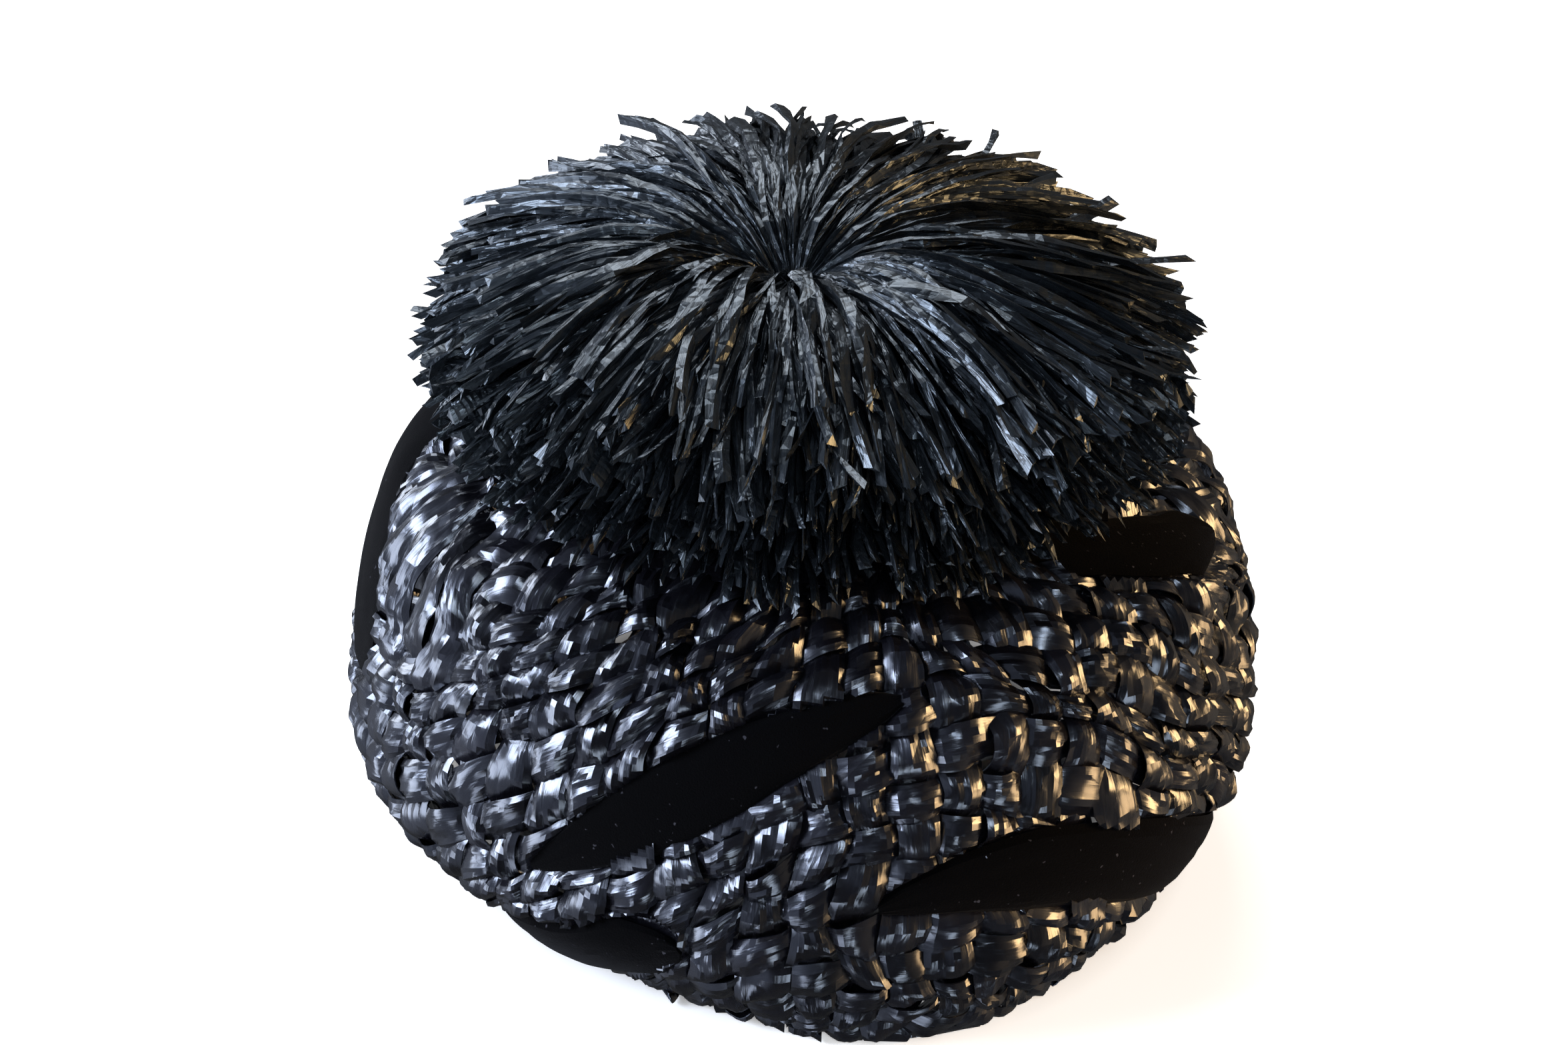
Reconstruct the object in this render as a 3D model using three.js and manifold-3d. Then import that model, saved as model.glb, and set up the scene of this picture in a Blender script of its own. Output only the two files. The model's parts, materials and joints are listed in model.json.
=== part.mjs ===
// Pillbox hat in black: a rounded hollow crown plaited from flat glossy straw, velvet ribbons worked
// into the plait along its rows, and a large flattened pompom of cut straw tied on the crown.
// Millimetres, Z up, the front toward -Y, the head opening down. Azimuths are degrees from the
// front, growing to the right. A length along the crown is measured down its outside from the top.
import * as THREE from 'three';
import { mergeVertices } from 'three/addons/utils/BufferGeometryUtils.js';
import Module from 'manifold-3d';

// Crown
const CROWN_DIAMETER = 215;
const CROWN_HEIGHT = 108;
const RIM_DIAMETER = 176;
const WIDEST_HEIGHT = 37;
const STRAW_WALL = 2.5;
const STRAW_PITCH = 10.3;
const STRAW_COLUMNS = 64;
const CELL_RISE = 0.6;
const CELL_DIP = 0.6;

// The plait's rows rise and fall twice round the crown, as a mat draped over it does.
const ROW_SWING = 80;
const ROW_PEAK_AZIMUTH = 17;

// Velvet ribbons
const RIBBON_WIDTH = 18;
const RIBBON_THICKNESS = 1.3;
const RIBBON_PUFF = 0.5;
const RIBBON_SINK = 1.2;
const RIM_LIP = 1;

// Pompom
const POMPOM_DIAMETER = 170;
const POMPOM_HEIGHT = 50;
const POMPOM_SHIFT = -2;
const LOCK_WIDTH = 15;
const LOCK_THICKNESS = 4;

// Between neighbouring pieces
const CLEARANCE = 0.3;

// Crown above its widest line: share of the way up to the top, share of the crown's radius.
const TOP_SECTIONS = [
  { section: 'upper wall', up: 0.18, out: 0.997 },
  { section: 'upper wall', up: 0.36, out: 0.98 },
  { section: 'upper wall', up: 0.53, out: 0.952 },
  { section: 'shoulder', up: 0.68, out: 0.921 },
  { section: 'shoulder', up: 0.79, out: 0.876 },
  { section: 'shoulder', up: 0.87, out: 0.795 },
  { section: 'shoulder', up: 0.928, out: 0.69 },
  { section: 'top', up: 0.965, out: 0.56 },
  { section: 'top', up: 0.985, out: 0.4 },
  { section: 'top', up: 0.997, out: 0.2 },
];

// Dents and bulges of the soft rim: azimuth and span in degrees, reach up from the rim as a share
// of the widest line's height, push outward as a share of the crown's radius.
const DENTS = [
  { dent: 'bulge at the front right', azimuth: 22, span: 40, reach: 1.1, push: 0.062 },
  { dent: 'tuck at the front left', azimuth: -34, span: 46, reach: 0.9, push: -0.062 },
  { dent: 'bulge at the left side', azimuth: -84, span: 44, reach: 1.9, push: 0.018 },
  { dent: 'tuck at the back', azimuth: 160, span: 60, reach: 0.9, push: -0.03 },
];

// Ribbons: azimuths of both ends, the plait row at each end as a share of the crown's arc from top
// to rim, the share of the ribbon's length over which each end narrows, and its share of the width.
const RIBBONS = [
  { name: 'front', ends: [-32, 13], rows: [0.52, 0.485], narrow: [0.3, 0.45], wide: 1 },
  { name: 'low_right', ends: [10, 86], rows: [0.722, 0.62], narrow: [0.25, 0.15], wide: 1.15 },
  { name: 'low_left', ends: [-47, -10], rows: [0.635, 0.71], narrow: [0.3, 0.08], wide: 1 },
  { name: 'high_left', ends: [-112, -65], rows: [0.115, 0.225], narrow: [0.1, 0.2], wide: 1.35 },
  { name: 'high_right', ends: [46, 79], rows: [0.23, 0.175], narrow: [0.05, 0.15], wide: 1 },
  { name: 'back', ends: [158, 214], rows: [0.44, 0.47], narrow: [0.3, 0.3], wide: 1 },
  { name: 'back_low_left', ends: [184, 250], rows: [0.67, 0.63], narrow: [0.3, 0.2], wide: 1 },
  { name: 'back_low_right', ends: [138, 172], rows: [0.68, 0.7], narrow: [0.3, 0.1], wide: 1 },
];

// Pompom's solid head, from its underside to the dimple of the tie: shares of its radius and height.
const POMPOM_HEAD = [
  { section: 'underside', out: 0.45, up: 0 },
  { section: 'underside', out: 0.7, up: 0.1 },
  { section: 'side', out: 0.86, up: 0.3 },
  { section: 'side', out: 0.9, up: 0.5 },
  { section: 'dome', out: 0.84, up: 0.7 },
  { section: 'dome', out: 0.66, up: 0.87 },
  { section: 'dome', out: 0.4, up: 0.95 },
  { section: 'dimple', out: 0.18, up: 0.9 },
  { section: 'dimple', out: 0.06, up: 0.8 },
];

// Tiers of cut straw locks round the head. Each lock's spine has shares of the radius and height.
const LOCK_TIERS = [
  { tier: 'top', locks: 30, spine: [[0.1, 0.83], [0.34, 0.955], [0.76, 0.82], [1, 0.52]] },
  { tier: 'middle', locks: 28, spine: [[0.75, 0.56], [1.01, 0.3]] },
  { tier: 'low', locks: 26, spine: [[0.66, 0.26], [0.96, -0.02]] },
];
const LOCK_SWAY = 4;
const LOCK_RAGGED = 0.045;

const radians = THREE.MathUtils.degToRad;
const lerp = THREE.MathUtils.lerp;
const crownRadius = CROWN_DIAMETER / 2;
const rimRadius = RIM_DIAMETER / 2;

// A repeatable number from 0 to 1 for the n-th piece of a set.
function scatter(n) {
  const wave = Math.sin(n * 12.9898 + 4.1) * 43758.5453;
  return wave - Math.floor(wave);
}

// The crown's outside from the middle of its top down to the rim, as radius and height.
function crownProfile() {
  const points = [new THREE.Vector2(0, CROWN_HEIGHT)];
  for (const row of [...TOP_SECTIONS].reverse()) {
    const height = lerp(WIDEST_HEIGHT, CROWN_HEIGHT, row.up);
    points.push(new THREE.Vector2(row.out * crownRadius, height));
  }
  const steps = 4;
  for (let step = steps; step >= 0; step -= 1) {
    const share = step / steps;
    const radius = lerp(rimRadius, crownRadius, Math.sin((share * Math.PI) / 2));
    points.push(new THREE.Vector2(radius, share * WIDEST_HEIGHT));
  }
  const curve = new THREE.SplineCurve(points);
  curve.arcLengthDivisions = 600;
  return curve;
}

const profile = crownProfile();
const crownArc = profile.getLength();
const hiddenTop = crownArc * 0.36;

function bell(distance) {
  return Math.abs(distance) < 1 ? Math.cos((distance * Math.PI) / 2) ** 2 : 0;
}

function turnBetween(a, b) {
  return THREE.MathUtils.euclideanModulo(a - b + 180, 360) - 180;
}

function dentAt(azimuth, height) {
  let push = 0;
  for (const row of DENTS) {
    const side = bell(turnBetween(azimuth, row.azimuth) / row.span);
    push += row.push * crownRadius * side * bell(height / (row.reach * WIDEST_HEIGHT));
  }
  return push;
}

// A point on the crown: azimuth, length down from the top, and distance out from its surface.
// Past the rim the surface runs straight on. On the rim the offset is level, so the rim is flat.
function onCrown(azimuth, along, offset) {
  const share = THREE.MathUtils.clamp(along / crownArc, 0, 1);
  const point = profile.getPointAt(share);
  const tangent = profile.getTangentAt(share);
  const past = Math.max(along - crownArc, 0);
  const level = Math.abs(along - crownArc) < 1e-6;
  const dent = dentAt(azimuth, Math.max(point.y, 0));
  let radius = point.x + past * tangent.x + dent;
  let height = point.y + past * tangent.y;
  if (share === 0) {
    radius = 0;
    height += offset;
  } else if (level) {
    radius += offset / -tangent.y;
    height = 0;
  } else {
    radius += -tangent.y * offset;
    height += tangent.x * offset;
  }
  const turn = radians(azimuth);
  return new THREE.Vector3(radius * Math.sin(turn), -radius * Math.cos(turn), height);
}

function rowSwing(azimuth) {
  return (ROW_SWING * (1 - Math.cos(2 * radians(azimuth - ROW_PEAK_AZIMUTH)))) / 2;
}

// One closed surface from points and faces, each face a list of corners seen from outside.
class Surface {
  constructor() {
    this.points = [];
    this.triangles = [];
  }

  add(point) {
    this.points.push(point);
    return this.points.length - 1;
  }

  face(...corners) {
    for (let i = 1; i + 1 < corners.length; i += 1) {
      this.triangles.push(corners[0], corners[i], corners[i + 1]);
    }
  }

  geometry() {
    const geometry = new THREE.BufferGeometry();
    const values = this.points.flatMap((point) => [point.x, point.y, point.z]);
    geometry.setAttribute('position', new THREE.Float32BufferAttribute(values, 3));
    geometry.setIndex(this.triangles);
    return geometry;
  }
}

const wasm = await Module();
wasm.setup();

function solid(geometry) {
  const bare = geometry.clone();
  bare.deleteAttribute('normal');
  bare.deleteAttribute('uv');
  const merged = mergeVertices(bare, 1e-4);
  const vertProperties = new Float32Array(merged.attributes.position.array);
  const triVerts = new Uint32Array(merged.index.array);
  return new wasm.Manifold(new wasm.Mesh({ numProp: 3, vertProperties, triVerts }));
}

function geometryOf(manifold) {
  const mesh = manifold.getMesh();
  const geometry = new THREE.BufferGeometry();
  geometry.setAttribute('position', new THREE.Float32BufferAttribute(mesh.vertProperties, 3));
  geometry.setIndex([...mesh.triVerts]);
  return geometry;
}

// The corners of the plait down one column: the hidden top's edge, each row, then the rim.
function columnCorners(surface, column) {
  const azimuth = (360 * column) / STRAW_COLUMNS;
  const swing = rowSwing(azimuth);
  const corners = [];
  const place = (row, along) => {
    corners.push({ row, along, index: surface.add(onCrown(azimuth, along, -CELL_DIP)) });
  };
  place(-Infinity, hiddenTop);
  const margin = STRAW_PITCH * 0.2;
  for (let row = 0; row * STRAW_PITCH <= crownArc; row += 1) {
    const along = row * STRAW_PITCH + swing;
    if (along > hiddenTop + margin && along < crownArc - margin) place(row, along);
  }
  place(Infinity, crownArc);
  return corners;
}

// Joins two neighbouring columns. A whole cell of the plait is a low pyramid.
function joinColumns(surface, left, right, column) {
  const azimuth = (360 * (column + 0.5)) / STRAW_COLUMNS;
  let a = 0;
  let b = 0;
  while (a + 1 < left.length || b + 1 < right.length) {
    const nextLeft = a + 1 < left.length ? left[a + 1].row : Infinity;
    const nextRight = b + 1 < right.length ? right[b + 1].row : Infinity;
    const corners = [left[a], right[b]];
    if (nextLeft === nextRight) {
      corners.push(right[b + 1], left[a + 1]);
      const whole = left[a].row === right[b].row && left[a].row >= 0 && nextLeft < Infinity;
      if (whole) {
        const along = corners.reduce((sum, corner) => sum + corner.along, 0) / 4;
        const rise = CELL_RISE * (0.6 + 0.8 * scatter(column * 31 + nextLeft));
        const middle = surface.add(onCrown(azimuth, along, rise));
        corners.forEach((corner, i) => surface.face(middle, corners[(i + 1) % 4].index, corner.index));
      } else {
        surface.face(left[a].index, left[a + 1].index, right[b + 1].index, right[b].index);
      }
      a += 1;
      b += 1;
    } else if (nextLeft < nextRight) {
      surface.face(left[a].index, left[a + 1].index, right[b].index);
      a += 1;
    } else {
      surface.face(left[a].index, right[b + 1].index, right[b].index);
      b += 1;
    }
  }
}

// The plaited crown: a hollow wall open below, plain on its inside and under the pompom.
function strawCrown() {
  const surface = new Surface();
  const columns = [];
  for (let column = 0; column < STRAW_COLUMNS; column += 1) {
    columns.push(columnCorners(surface, column));
  }
  const ring = (along, offset) => columns.map((corners, column) => {
    const azimuth = (360 * column) / STRAW_COLUMNS;
    return surface.add(onCrown(azimuth, along, offset));
  });
  const topRings = [0.33, 0.67].map((share) => ring(hiddenTop * share, 0));
  topRings.push(columns.map((corners) => corners[0].index));
  const insideShares = [0.2, 0.38, 0.46, 0.54, 0.64, 0.8, 0.92, 1];
  const insideRings = insideShares.map((share) => ring(crownArc * share, -STRAW_WALL));
  const top = surface.add(onCrown(0, 0, 0));
  const insideTop = surface.add(onCrown(0, 0, -STRAW_WALL));
  for (let column = 0; column < STRAW_COLUMNS; column += 1) {
    const next = (column + 1) % STRAW_COLUMNS;
    joinColumns(surface, columns[column], columns[next], column);
    surface.face(top, topRings[0][column], topRings[0][next]);
    for (let i = 0; i + 1 < topRings.length; i += 1) {
      const [upper, lower] = [topRings[i], topRings[i + 1]];
      surface.face(upper[column], lower[column], lower[next], upper[next]);
    }
    surface.face(insideTop, insideRings[0][next], insideRings[0][column]);
    for (let i = 0; i + 1 < insideRings.length; i += 1) {
      const [upper, lower] = [insideRings[i], insideRings[i + 1]];
      surface.face(upper[column], upper[next], lower[next], lower[column]);
    }
    const rim = insideRings[insideRings.length - 1];
    const outer = (corners) => corners[corners.length - 1].index;
    surface.face(outer(columns[column]), rim[column], rim[next], outer(columns[next]));
  }
  return surface.geometry();
}

// Both edges of a ribbon at a share of its length, as azimuth and length down the crown.
function ribbonEdges(ribbon, share, grow) {
  const azimuth = lerp(...ribbon.ends, share);
  const along = lerp(...ribbon.rows, share) * crownArc + rowSwing(azimuth);
  const turn = radians(1);
  const radius = profile.getPointAt(THREE.MathUtils.clamp(along / crownArc, 0, 1)).x;
  const fall = (rowSwing(azimuth + 0.5) - rowSwing(azimuth - 0.5)) / (radius * turn);
  const fromStart = Math.min(share / ribbon.narrow[0], 1);
  const fromEnd = Math.min((1 - share) / ribbon.narrow[1], 1);
  const fullness = Math.sqrt(Math.max(Math.min(fromStart, fromEnd), 0.02));
  const reach = (RIBBON_WIDTH / 2) * ribbon.wide * fullness + grow;
  const length = Math.hypot(1, fall);
  const across = (reach * fall) / length;
  const down = reach / length;
  const turnAcross = THREE.MathUtils.radToDeg(across / radius);
  return {
    upper: { azimuth: azimuth + turnAcross, along: along - down },
    lower: { azimuth: azimuth - turnAcross, along: along + down },
  };
}

// A curved plate along a ribbon's row, puffed along its middle. A pocket is the same plate grown by
// the clearance, and open outward, and open downward where the ribbon reaches the rim.
function ribbonPlate(ribbon, pocket) {
  const surface = new Surface();
  const stations = 10;
  const grow = pocket ? CLEARANCE : 0;
  const floor = -RIBBON_SINK - grow;
  const rimLimit = crownArc - RIM_LIP;
  const span = radians(ribbon.ends[1] - ribbon.ends[0]);
  const lengthen = pocket ? CLEARANCE / (span * crownRadius) : 0;
  const rings = [];
  for (let station = 0; station <= stations; station += 1) {
    const share = lerp(-lengthen, 1 + lengthen, station / stations);
    const { upper, lower } = ribbonEdges(ribbon, share, grow);
    if (lower.along > rimLimit) lower.along = pocket ? crownArc + 4 * RIM_LIP : rimLimit;
    const middle = {
      azimuth: (upper.azimuth + lower.azimuth) / 2,
      along: (upper.along + Math.min(lower.along, rimLimit)) / 2,
    };
    const edge = pocket ? 3 : RIBBON_THICKNESS - RIBBON_SINK;
    const puff = pocket ? 0 : RIBBON_PUFF * bell(2 * share - 1);
    const tops = [[upper, edge], [middle, edge + puff], [lower, edge]];
    const bottoms = [[lower, floor], [middle, floor], [upper, floor]];
    rings.push([...tops, ...bottoms].map(([at, offset]) => (
      surface.add(onCrown(at.azimuth, at.along, offset))
    )));
  }
  for (let station = 0; station < stations; station += 1) {
    const [near, far] = [rings[station], rings[station + 1]];
    near.forEach((corner, i) => {
      const next = (i + 1) % near.length;
      surface.face(near[i], near[next], far[next], far[i]);
    });
  }
  surface.face(...[...rings[0]].reverse());
  surface.face(...rings[stations]);
  return surface.geometry();
}

// The pompom's floor, just clear of the crown's top.
const pompomFloor = CROWN_HEIGHT + CLEARANCE;

function pompomPoint(azimuth, out, up, aside) {
  const turn = radians(azimuth);
  const radius = out * (POMPOM_DIAMETER / 2);
  const x = POMPOM_SHIFT + radius * Math.sin(turn) + aside * Math.cos(turn);
  const y = -radius * Math.cos(turn) + aside * Math.sin(turn);
  return new THREE.Vector3(x, y, pompomFloor + up * POMPOM_HEIGHT);
}

function pompomHead() {
  const points = [new THREE.Vector2(0, 0)];
  for (const row of POMPOM_HEAD) {
    points.push(new THREE.Vector2((row.out * POMPOM_DIAMETER) / 2, row.up * POMPOM_HEIGHT));
  }
  const last = POMPOM_HEAD[POMPOM_HEAD.length - 1];
  points.push(new THREE.Vector2(0, (last.up - 0.03) * POMPOM_HEIGHT));
  const head = new THREE.LatheGeometry(points, 30);
  head.rotateX(Math.PI / 2);
  head.translate(POMPOM_SHIFT, 0, pompomFloor);
  return head;
}

// One flat lock of cut straw along a tier's spine, widening to a blunt cut end.
function strawLock(tier, number, seed) {
  const surface = new Surface();
  const stretch = 1 + LOCK_RAGGED * (2 * scatter(seed) - 1);
  const sway = LOCK_SWAY * (2 * scatter(seed + 0.5) - 1);
  const azimuth = (360 * (number + 0.5 * (seed % 2))) / tier.locks;
  const last = tier.spine.length - 1;
  const rings = tier.spine.map(([out, up], i) => {
    const reach = out * (i === last ? stretch : 1);
    const share = out ** 0.5;
    const half = (LOCK_WIDTH / 2) * lerp(0.15, 1, share);
    const thick = LOCK_THICKNESS / 2 / POMPOM_HEIGHT;
    const turned = azimuth + sway * (i / last) ** 2;
    const lift = (i === last ? 0.05 : 0) * (2 * scatter(seed + 0.25) - 1);
    const corners = [[-half, thick], [half, thick], [half, -thick], [-half, -thick]];
    return corners.map(([aside, up2]) => (
      surface.add(pompomPoint(turned, reach, up + lift + up2, aside))
    ));
  });
  for (let i = 0; i < last; i += 1) {
    for (let side = 0; side < 4; side += 1) {
      const next = (side + 1) % 4;
      surface.face(rings[i][side], rings[i + 1][side], rings[i + 1][next], rings[i][next]);
    }
  }
  surface.face(...rings[0]);
  surface.face(...[...rings[last]].reverse());
  return surface.geometry();
}

function pompom() {
  let body = solid(pompomHead());
  LOCK_TIERS.forEach((tier, tierNumber) => {
    for (let number = 0; number < tier.locks; number += 1) {
      body = body.add(solid(strawLock(tier, number, tierNumber * 101 + number * 2 + tierNumber)));
    }
  });
  return geometryOf(body);
}

function crownWithPockets() {
  let crown = solid(strawCrown());
  for (const ribbon of RIBBONS) {
    crown = crown.subtract(solid(ribbonPlate(ribbon, true)));
  }
  return geometryOf(crown);
}

function piece(name, geometry, color, roughness) {
  const material = new THREE.MeshStandardMaterial({ color, roughness, metalness: 0 });
  const mesh = new THREE.Mesh(geometry, material);
  mesh.name = name;
  return mesh;
}

const hat = new THREE.Group();
hat.name = 'pillbox_hat';
hat.add(piece('straw_crown', crownWithPockets(), 0x14141a, 0.25));
hat.add(piece('straw_pompom', pompom(), 0x22262b, 0.4));
for (const ribbon of RIBBONS) {
  hat.add(piece(`velvet_ribbon_${ribbon.name}`, ribbonPlate(ribbon, false), 0x050506, 1));
}

// The frame's origin is under the middle of the hat's box, on the level that its rim rests on.
const box = new THREE.Box3().setFromObject(hat);
const middle = box.getCenter(new THREE.Vector3());
hat.position.set(-middle.x, -middle.y, -box.min.z);

export default hat;
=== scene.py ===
import json
import math

import bpy
import numpy as np
from mathutils import Matrix, Vector

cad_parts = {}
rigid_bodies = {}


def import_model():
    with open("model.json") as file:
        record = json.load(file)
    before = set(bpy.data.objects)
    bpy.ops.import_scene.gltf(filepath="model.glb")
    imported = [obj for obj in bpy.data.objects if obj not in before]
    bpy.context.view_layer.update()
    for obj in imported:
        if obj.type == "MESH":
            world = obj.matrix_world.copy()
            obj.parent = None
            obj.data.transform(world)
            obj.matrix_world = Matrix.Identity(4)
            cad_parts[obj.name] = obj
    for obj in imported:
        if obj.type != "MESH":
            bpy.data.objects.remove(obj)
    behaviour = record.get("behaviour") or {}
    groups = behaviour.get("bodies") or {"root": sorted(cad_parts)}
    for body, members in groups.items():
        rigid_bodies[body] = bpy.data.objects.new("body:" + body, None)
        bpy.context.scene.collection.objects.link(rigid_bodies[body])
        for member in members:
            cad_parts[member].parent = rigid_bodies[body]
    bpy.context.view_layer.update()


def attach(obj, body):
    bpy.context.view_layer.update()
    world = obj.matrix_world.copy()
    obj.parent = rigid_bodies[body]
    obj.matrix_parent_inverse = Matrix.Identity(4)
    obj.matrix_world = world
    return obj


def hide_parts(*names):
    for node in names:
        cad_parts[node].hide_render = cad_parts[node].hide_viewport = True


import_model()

bl_info = {
    "name": "Pillbox Hat",
    "version": (1, 0, 0),
    "blender": (4, 5, 0),
    "location": "3D View > Sidebar > Hat",
    "description": "Black pillbox hat of plaited straw with velvet ribbons and a straw pompom",
    "category": "Add Mesh",
}

MM = 0.001

# The crown's axis stands a little beside the middle of the hat's box.
AXIS_X = 0.5 * MM

# Crown above its widest line: share of the way up to the top, share of the crown's radius.
TOP_SECTIONS = [
    {"up": 0.18, "out": 0.997},
    {"up": 0.36, "out": 0.98},
    {"up": 0.53, "out": 0.952},
    {"up": 0.68, "out": 0.921},
    {"up": 0.79, "out": 0.876},
    {"up": 0.87, "out": 0.795},
    {"up": 0.928, "out": 0.69},
    {"up": 0.965, "out": 0.56},
    {"up": 0.985, "out": 0.4},
    {"up": 0.997, "out": 0.2},
]

# Dents and bulges of the soft rim: azimuth and span in degrees, reach up from the rim as a share
# of the widest line's height, push outward as a share of the crown's radius.
DENTS = [
    {"azimuth": 22, "span": 40, "reach": 1.1, "push": 0.062},
    {"azimuth": -34, "span": 46, "reach": 0.9, "push": -0.062},
    {"azimuth": -84, "span": 44, "reach": 1.9, "push": 0.018},
    {"azimuth": 160, "span": 60, "reach": 0.9, "push": -0.03},
]

# Ribbons: azimuths of both ends, the plait row at each end as a share of the crown's arc from top
# to rim, the share of the ribbon's length over which each end narrows, its share of the width, and
# how far it stands out where it is turned under at the rim, in mm.
RIBBONS = {
    "front": {"ends": (-32, 13), "rows": (0.52, 0.485), "narrow": (0.3, 0.45), "wide": 1.0,
              "stand": 0.0},
    "low_right": {"ends": (10, 86), "rows": (0.722, 0.62), "narrow": (0.25, 0.15), "wide": 1.15,
                  "stand": 0.6},
    "low_left": {"ends": (-50, -13), "rows": (0.627, 0.703), "narrow": (0.3, 0.12), "wide": 1.05,
                 "stand": 3.0},
    "high_left": {"ends": (-112, -70), "rows": (0.15, 0.248), "narrow": (0.1, 0.2), "wide": 2.6,
                  "stand": 1.6},
    "high_right": {"ends": (46, 79), "rows": (0.23, 0.175), "narrow": (0.05, 0.15), "wide": 1.0,
                   "stand": 0.0},
    "back": {"ends": (158, 214), "rows": (0.44, 0.47), "narrow": (0.3, 0.3), "wide": 1.0,
             "stand": 0.0},
    "back_low_left": {"ends": (184, 250), "rows": (0.67, 0.63), "narrow": (0.3, 0.2), "wide": 1.0,
                      "stand": 0.0},
    "back_low_right": {"ends": (138, 172), "rows": (0.68, 0.7), "narrow": (0.3, 0.1), "wide": 1.0,
                       "stand": 0.0},
}

# The straws beside a velvet ribbon: how far inside its edge they lie, in mm, and how high the
# ribbon then lets them stand.
TUCK = [
    {"inside": -2.6, "top": 4.0},
    {"inside": -1.2, "top": 1.0},
    {"inside": -0.4, "top": -0.1},
    {"inside": 0.4, "top": -1.5},
    {"inside": 1.4, "top": -2.3},
]

# Places where the plait is uneven: azimuth and length down from the top as a share of the crown's
# arc, the spans of both, how far the upright straws lie over all others, and their width.
UNEVEN = [
    {"azimuth": -66, "row": 0.505, "turn": 22, "length": 0.13, "over": 1.0, "width": 0.86},
    {"azimuth": 82, "row": 0.52, "turn": 26, "length": 0.16, "over": 0.35, "width": 0.72},
]

# Waves that push the whole plait out of true: how many go round the crown, their length down it in
# mm, where they start, and how far they push in mm.
WAVER = [
    {"round": 5, "length": 58, "start": 0.3, "push": 1.1},
    {"round": -9, "length": 41, "start": 2.1, "push": 0.9},
    {"round": 14, "length": 67, "start": 4.0, "push": 0.6},
    {"round": -17, "length": 30, "start": 1.2, "push": 0.6},
]

# Layers of the pompom from its top down, each between two azimuths in degrees. A straw starts,
# bends and ends at shares of the pompom's radius and height. Uneven is how far the lengths differ,
# light how pale the palest straws are painted, and wide a straw's width as a share of the widest.
# Light is painted shade: it falls from the top layers down, so the straws of the lower layers,
# which lie in the pompom's shade, are painted darker.
POMPOM_LAYERS = [
    {"straws": 56, "from": -72, "to": 58, "start": (0.02, 0.70), "bend": (0.34, 1.24),
     "end": (0.72, 0.82), "uneven": 0.22, "light": 1.0, "wide": 1.3},
    {"straws": 330, "from": -180, "to": 180, "start": (0.02, 0.68), "bend": (0.36, 1.22),
     "end": (0.82, 0.78), "uneven": 0.18, "light": 0.9, "wide": 1.0},
    {"straws": 420, "from": -180, "to": 180, "start": (0.02, 0.66), "bend": (0.40, 1.16),
     "end": (0.92, 0.68), "uneven": 0.15, "light": 0.75, "wide": 1.0},
    {"straws": 420, "from": -180, "to": 180, "start": (0.04, 0.62), "bend": (0.44, 1.08),
     "end": (0.98, 0.56), "uneven": 0.09, "light": 0.5, "wide": 0.95},
    {"straws": 330, "from": -180, "to": 180, "start": (0.50, 0.76), "bend": (0.80, 0.78),
     "end": (1.00, 0.52), "uneven": 0.07, "light": 0.28, "wide": 0.85},
    {"straws": 330, "from": -180, "to": 180, "start": (0.52, 0.66), "bend": (0.80, 0.66),
     "end": (1.02, 0.42), "uneven": 0.07, "light": 0.18, "wide": 0.8},
    {"straws": 330, "from": -180, "to": 180, "start": (0.52, 0.56), "bend": (0.80, 0.54),
     "end": (1.02, 0.32), "uneven": 0.07, "light": 0.05, "wide": 0.8},
    {"straws": 320, "from": -180, "to": 180, "start": (0.52, 0.44), "bend": (0.80, 0.42),
     "end": (1.01, 0.22), "uneven": 0.07, "light": 0.04, "wide": 0.8},
    {"straws": 300, "from": -180, "to": 180, "start": (0.50, 0.34), "bend": (0.78, 0.30),
     "end": (0.98, 0.12), "uneven": 0.08, "light": 0.02, "wide": 0.8},
    {"straws": 280, "from": -180, "to": 180, "start": (0.48, 0.24), "bend": (0.74, 0.20),
     "end": (0.95, 0.02), "uneven": 0.09, "light": 0.0, "wide": 0.8},
]
# Layers that start at the tie.
TIED_LAYERS = 4

# Packed straw deep in the pompom, from its underside to its dimple, as shares of the pompom's
# radius and height.
POMPOM_HEART = [
    {"out": 0.0, "up": 0.02},
    {"out": 0.45, "up": 0.03},
    {"out": 0.62, "up": 0.14},
    {"out": 0.74, "up": 0.32},
    {"out": 0.78, "up": 0.48},
    {"out": 0.74, "up": 0.62},
    {"out": 0.60, "up": 0.72},
    {"out": 0.40, "up": 0.74},
    {"out": 0.20, "up": 0.62},
    {"out": 0.0, "up": 0.50},
]

# Soft square lights: azimuth and elevation from the hat, side in metres, the stage's setting that
# holds the power, and the colour.
LIGHTS = [
    {"name": "cool_window", "azimuth": -74, "elevation": 22, "size": 1.15, "power": "key_power",
     "colour": (0.80, 0.87, 1.0)},
    {"name": "side_window", "azimuth": -128, "elevation": 14, "size": 1.0, "power": "side_power",
     "colour": (0.84, 0.90, 1.0)},
    {"name": "warm_lamp", "azimuth": 90, "elevation": 10, "size": 1.0, "power": "warm_power",
     "colour": (1.0, 0.62, 0.26)},
    {"name": "front_pane", "azimuth": 6, "elevation": 42, "size": 0.5, "power": "front_power",
     "colour": (0.82, 0.92, 1.0)},
    {"name": "back_window", "azimuth": -165, "elevation": 50, "size": 1.5, "power": "back_power",
     "colour": (0.90, 0.95, 1.0)},
]

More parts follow.
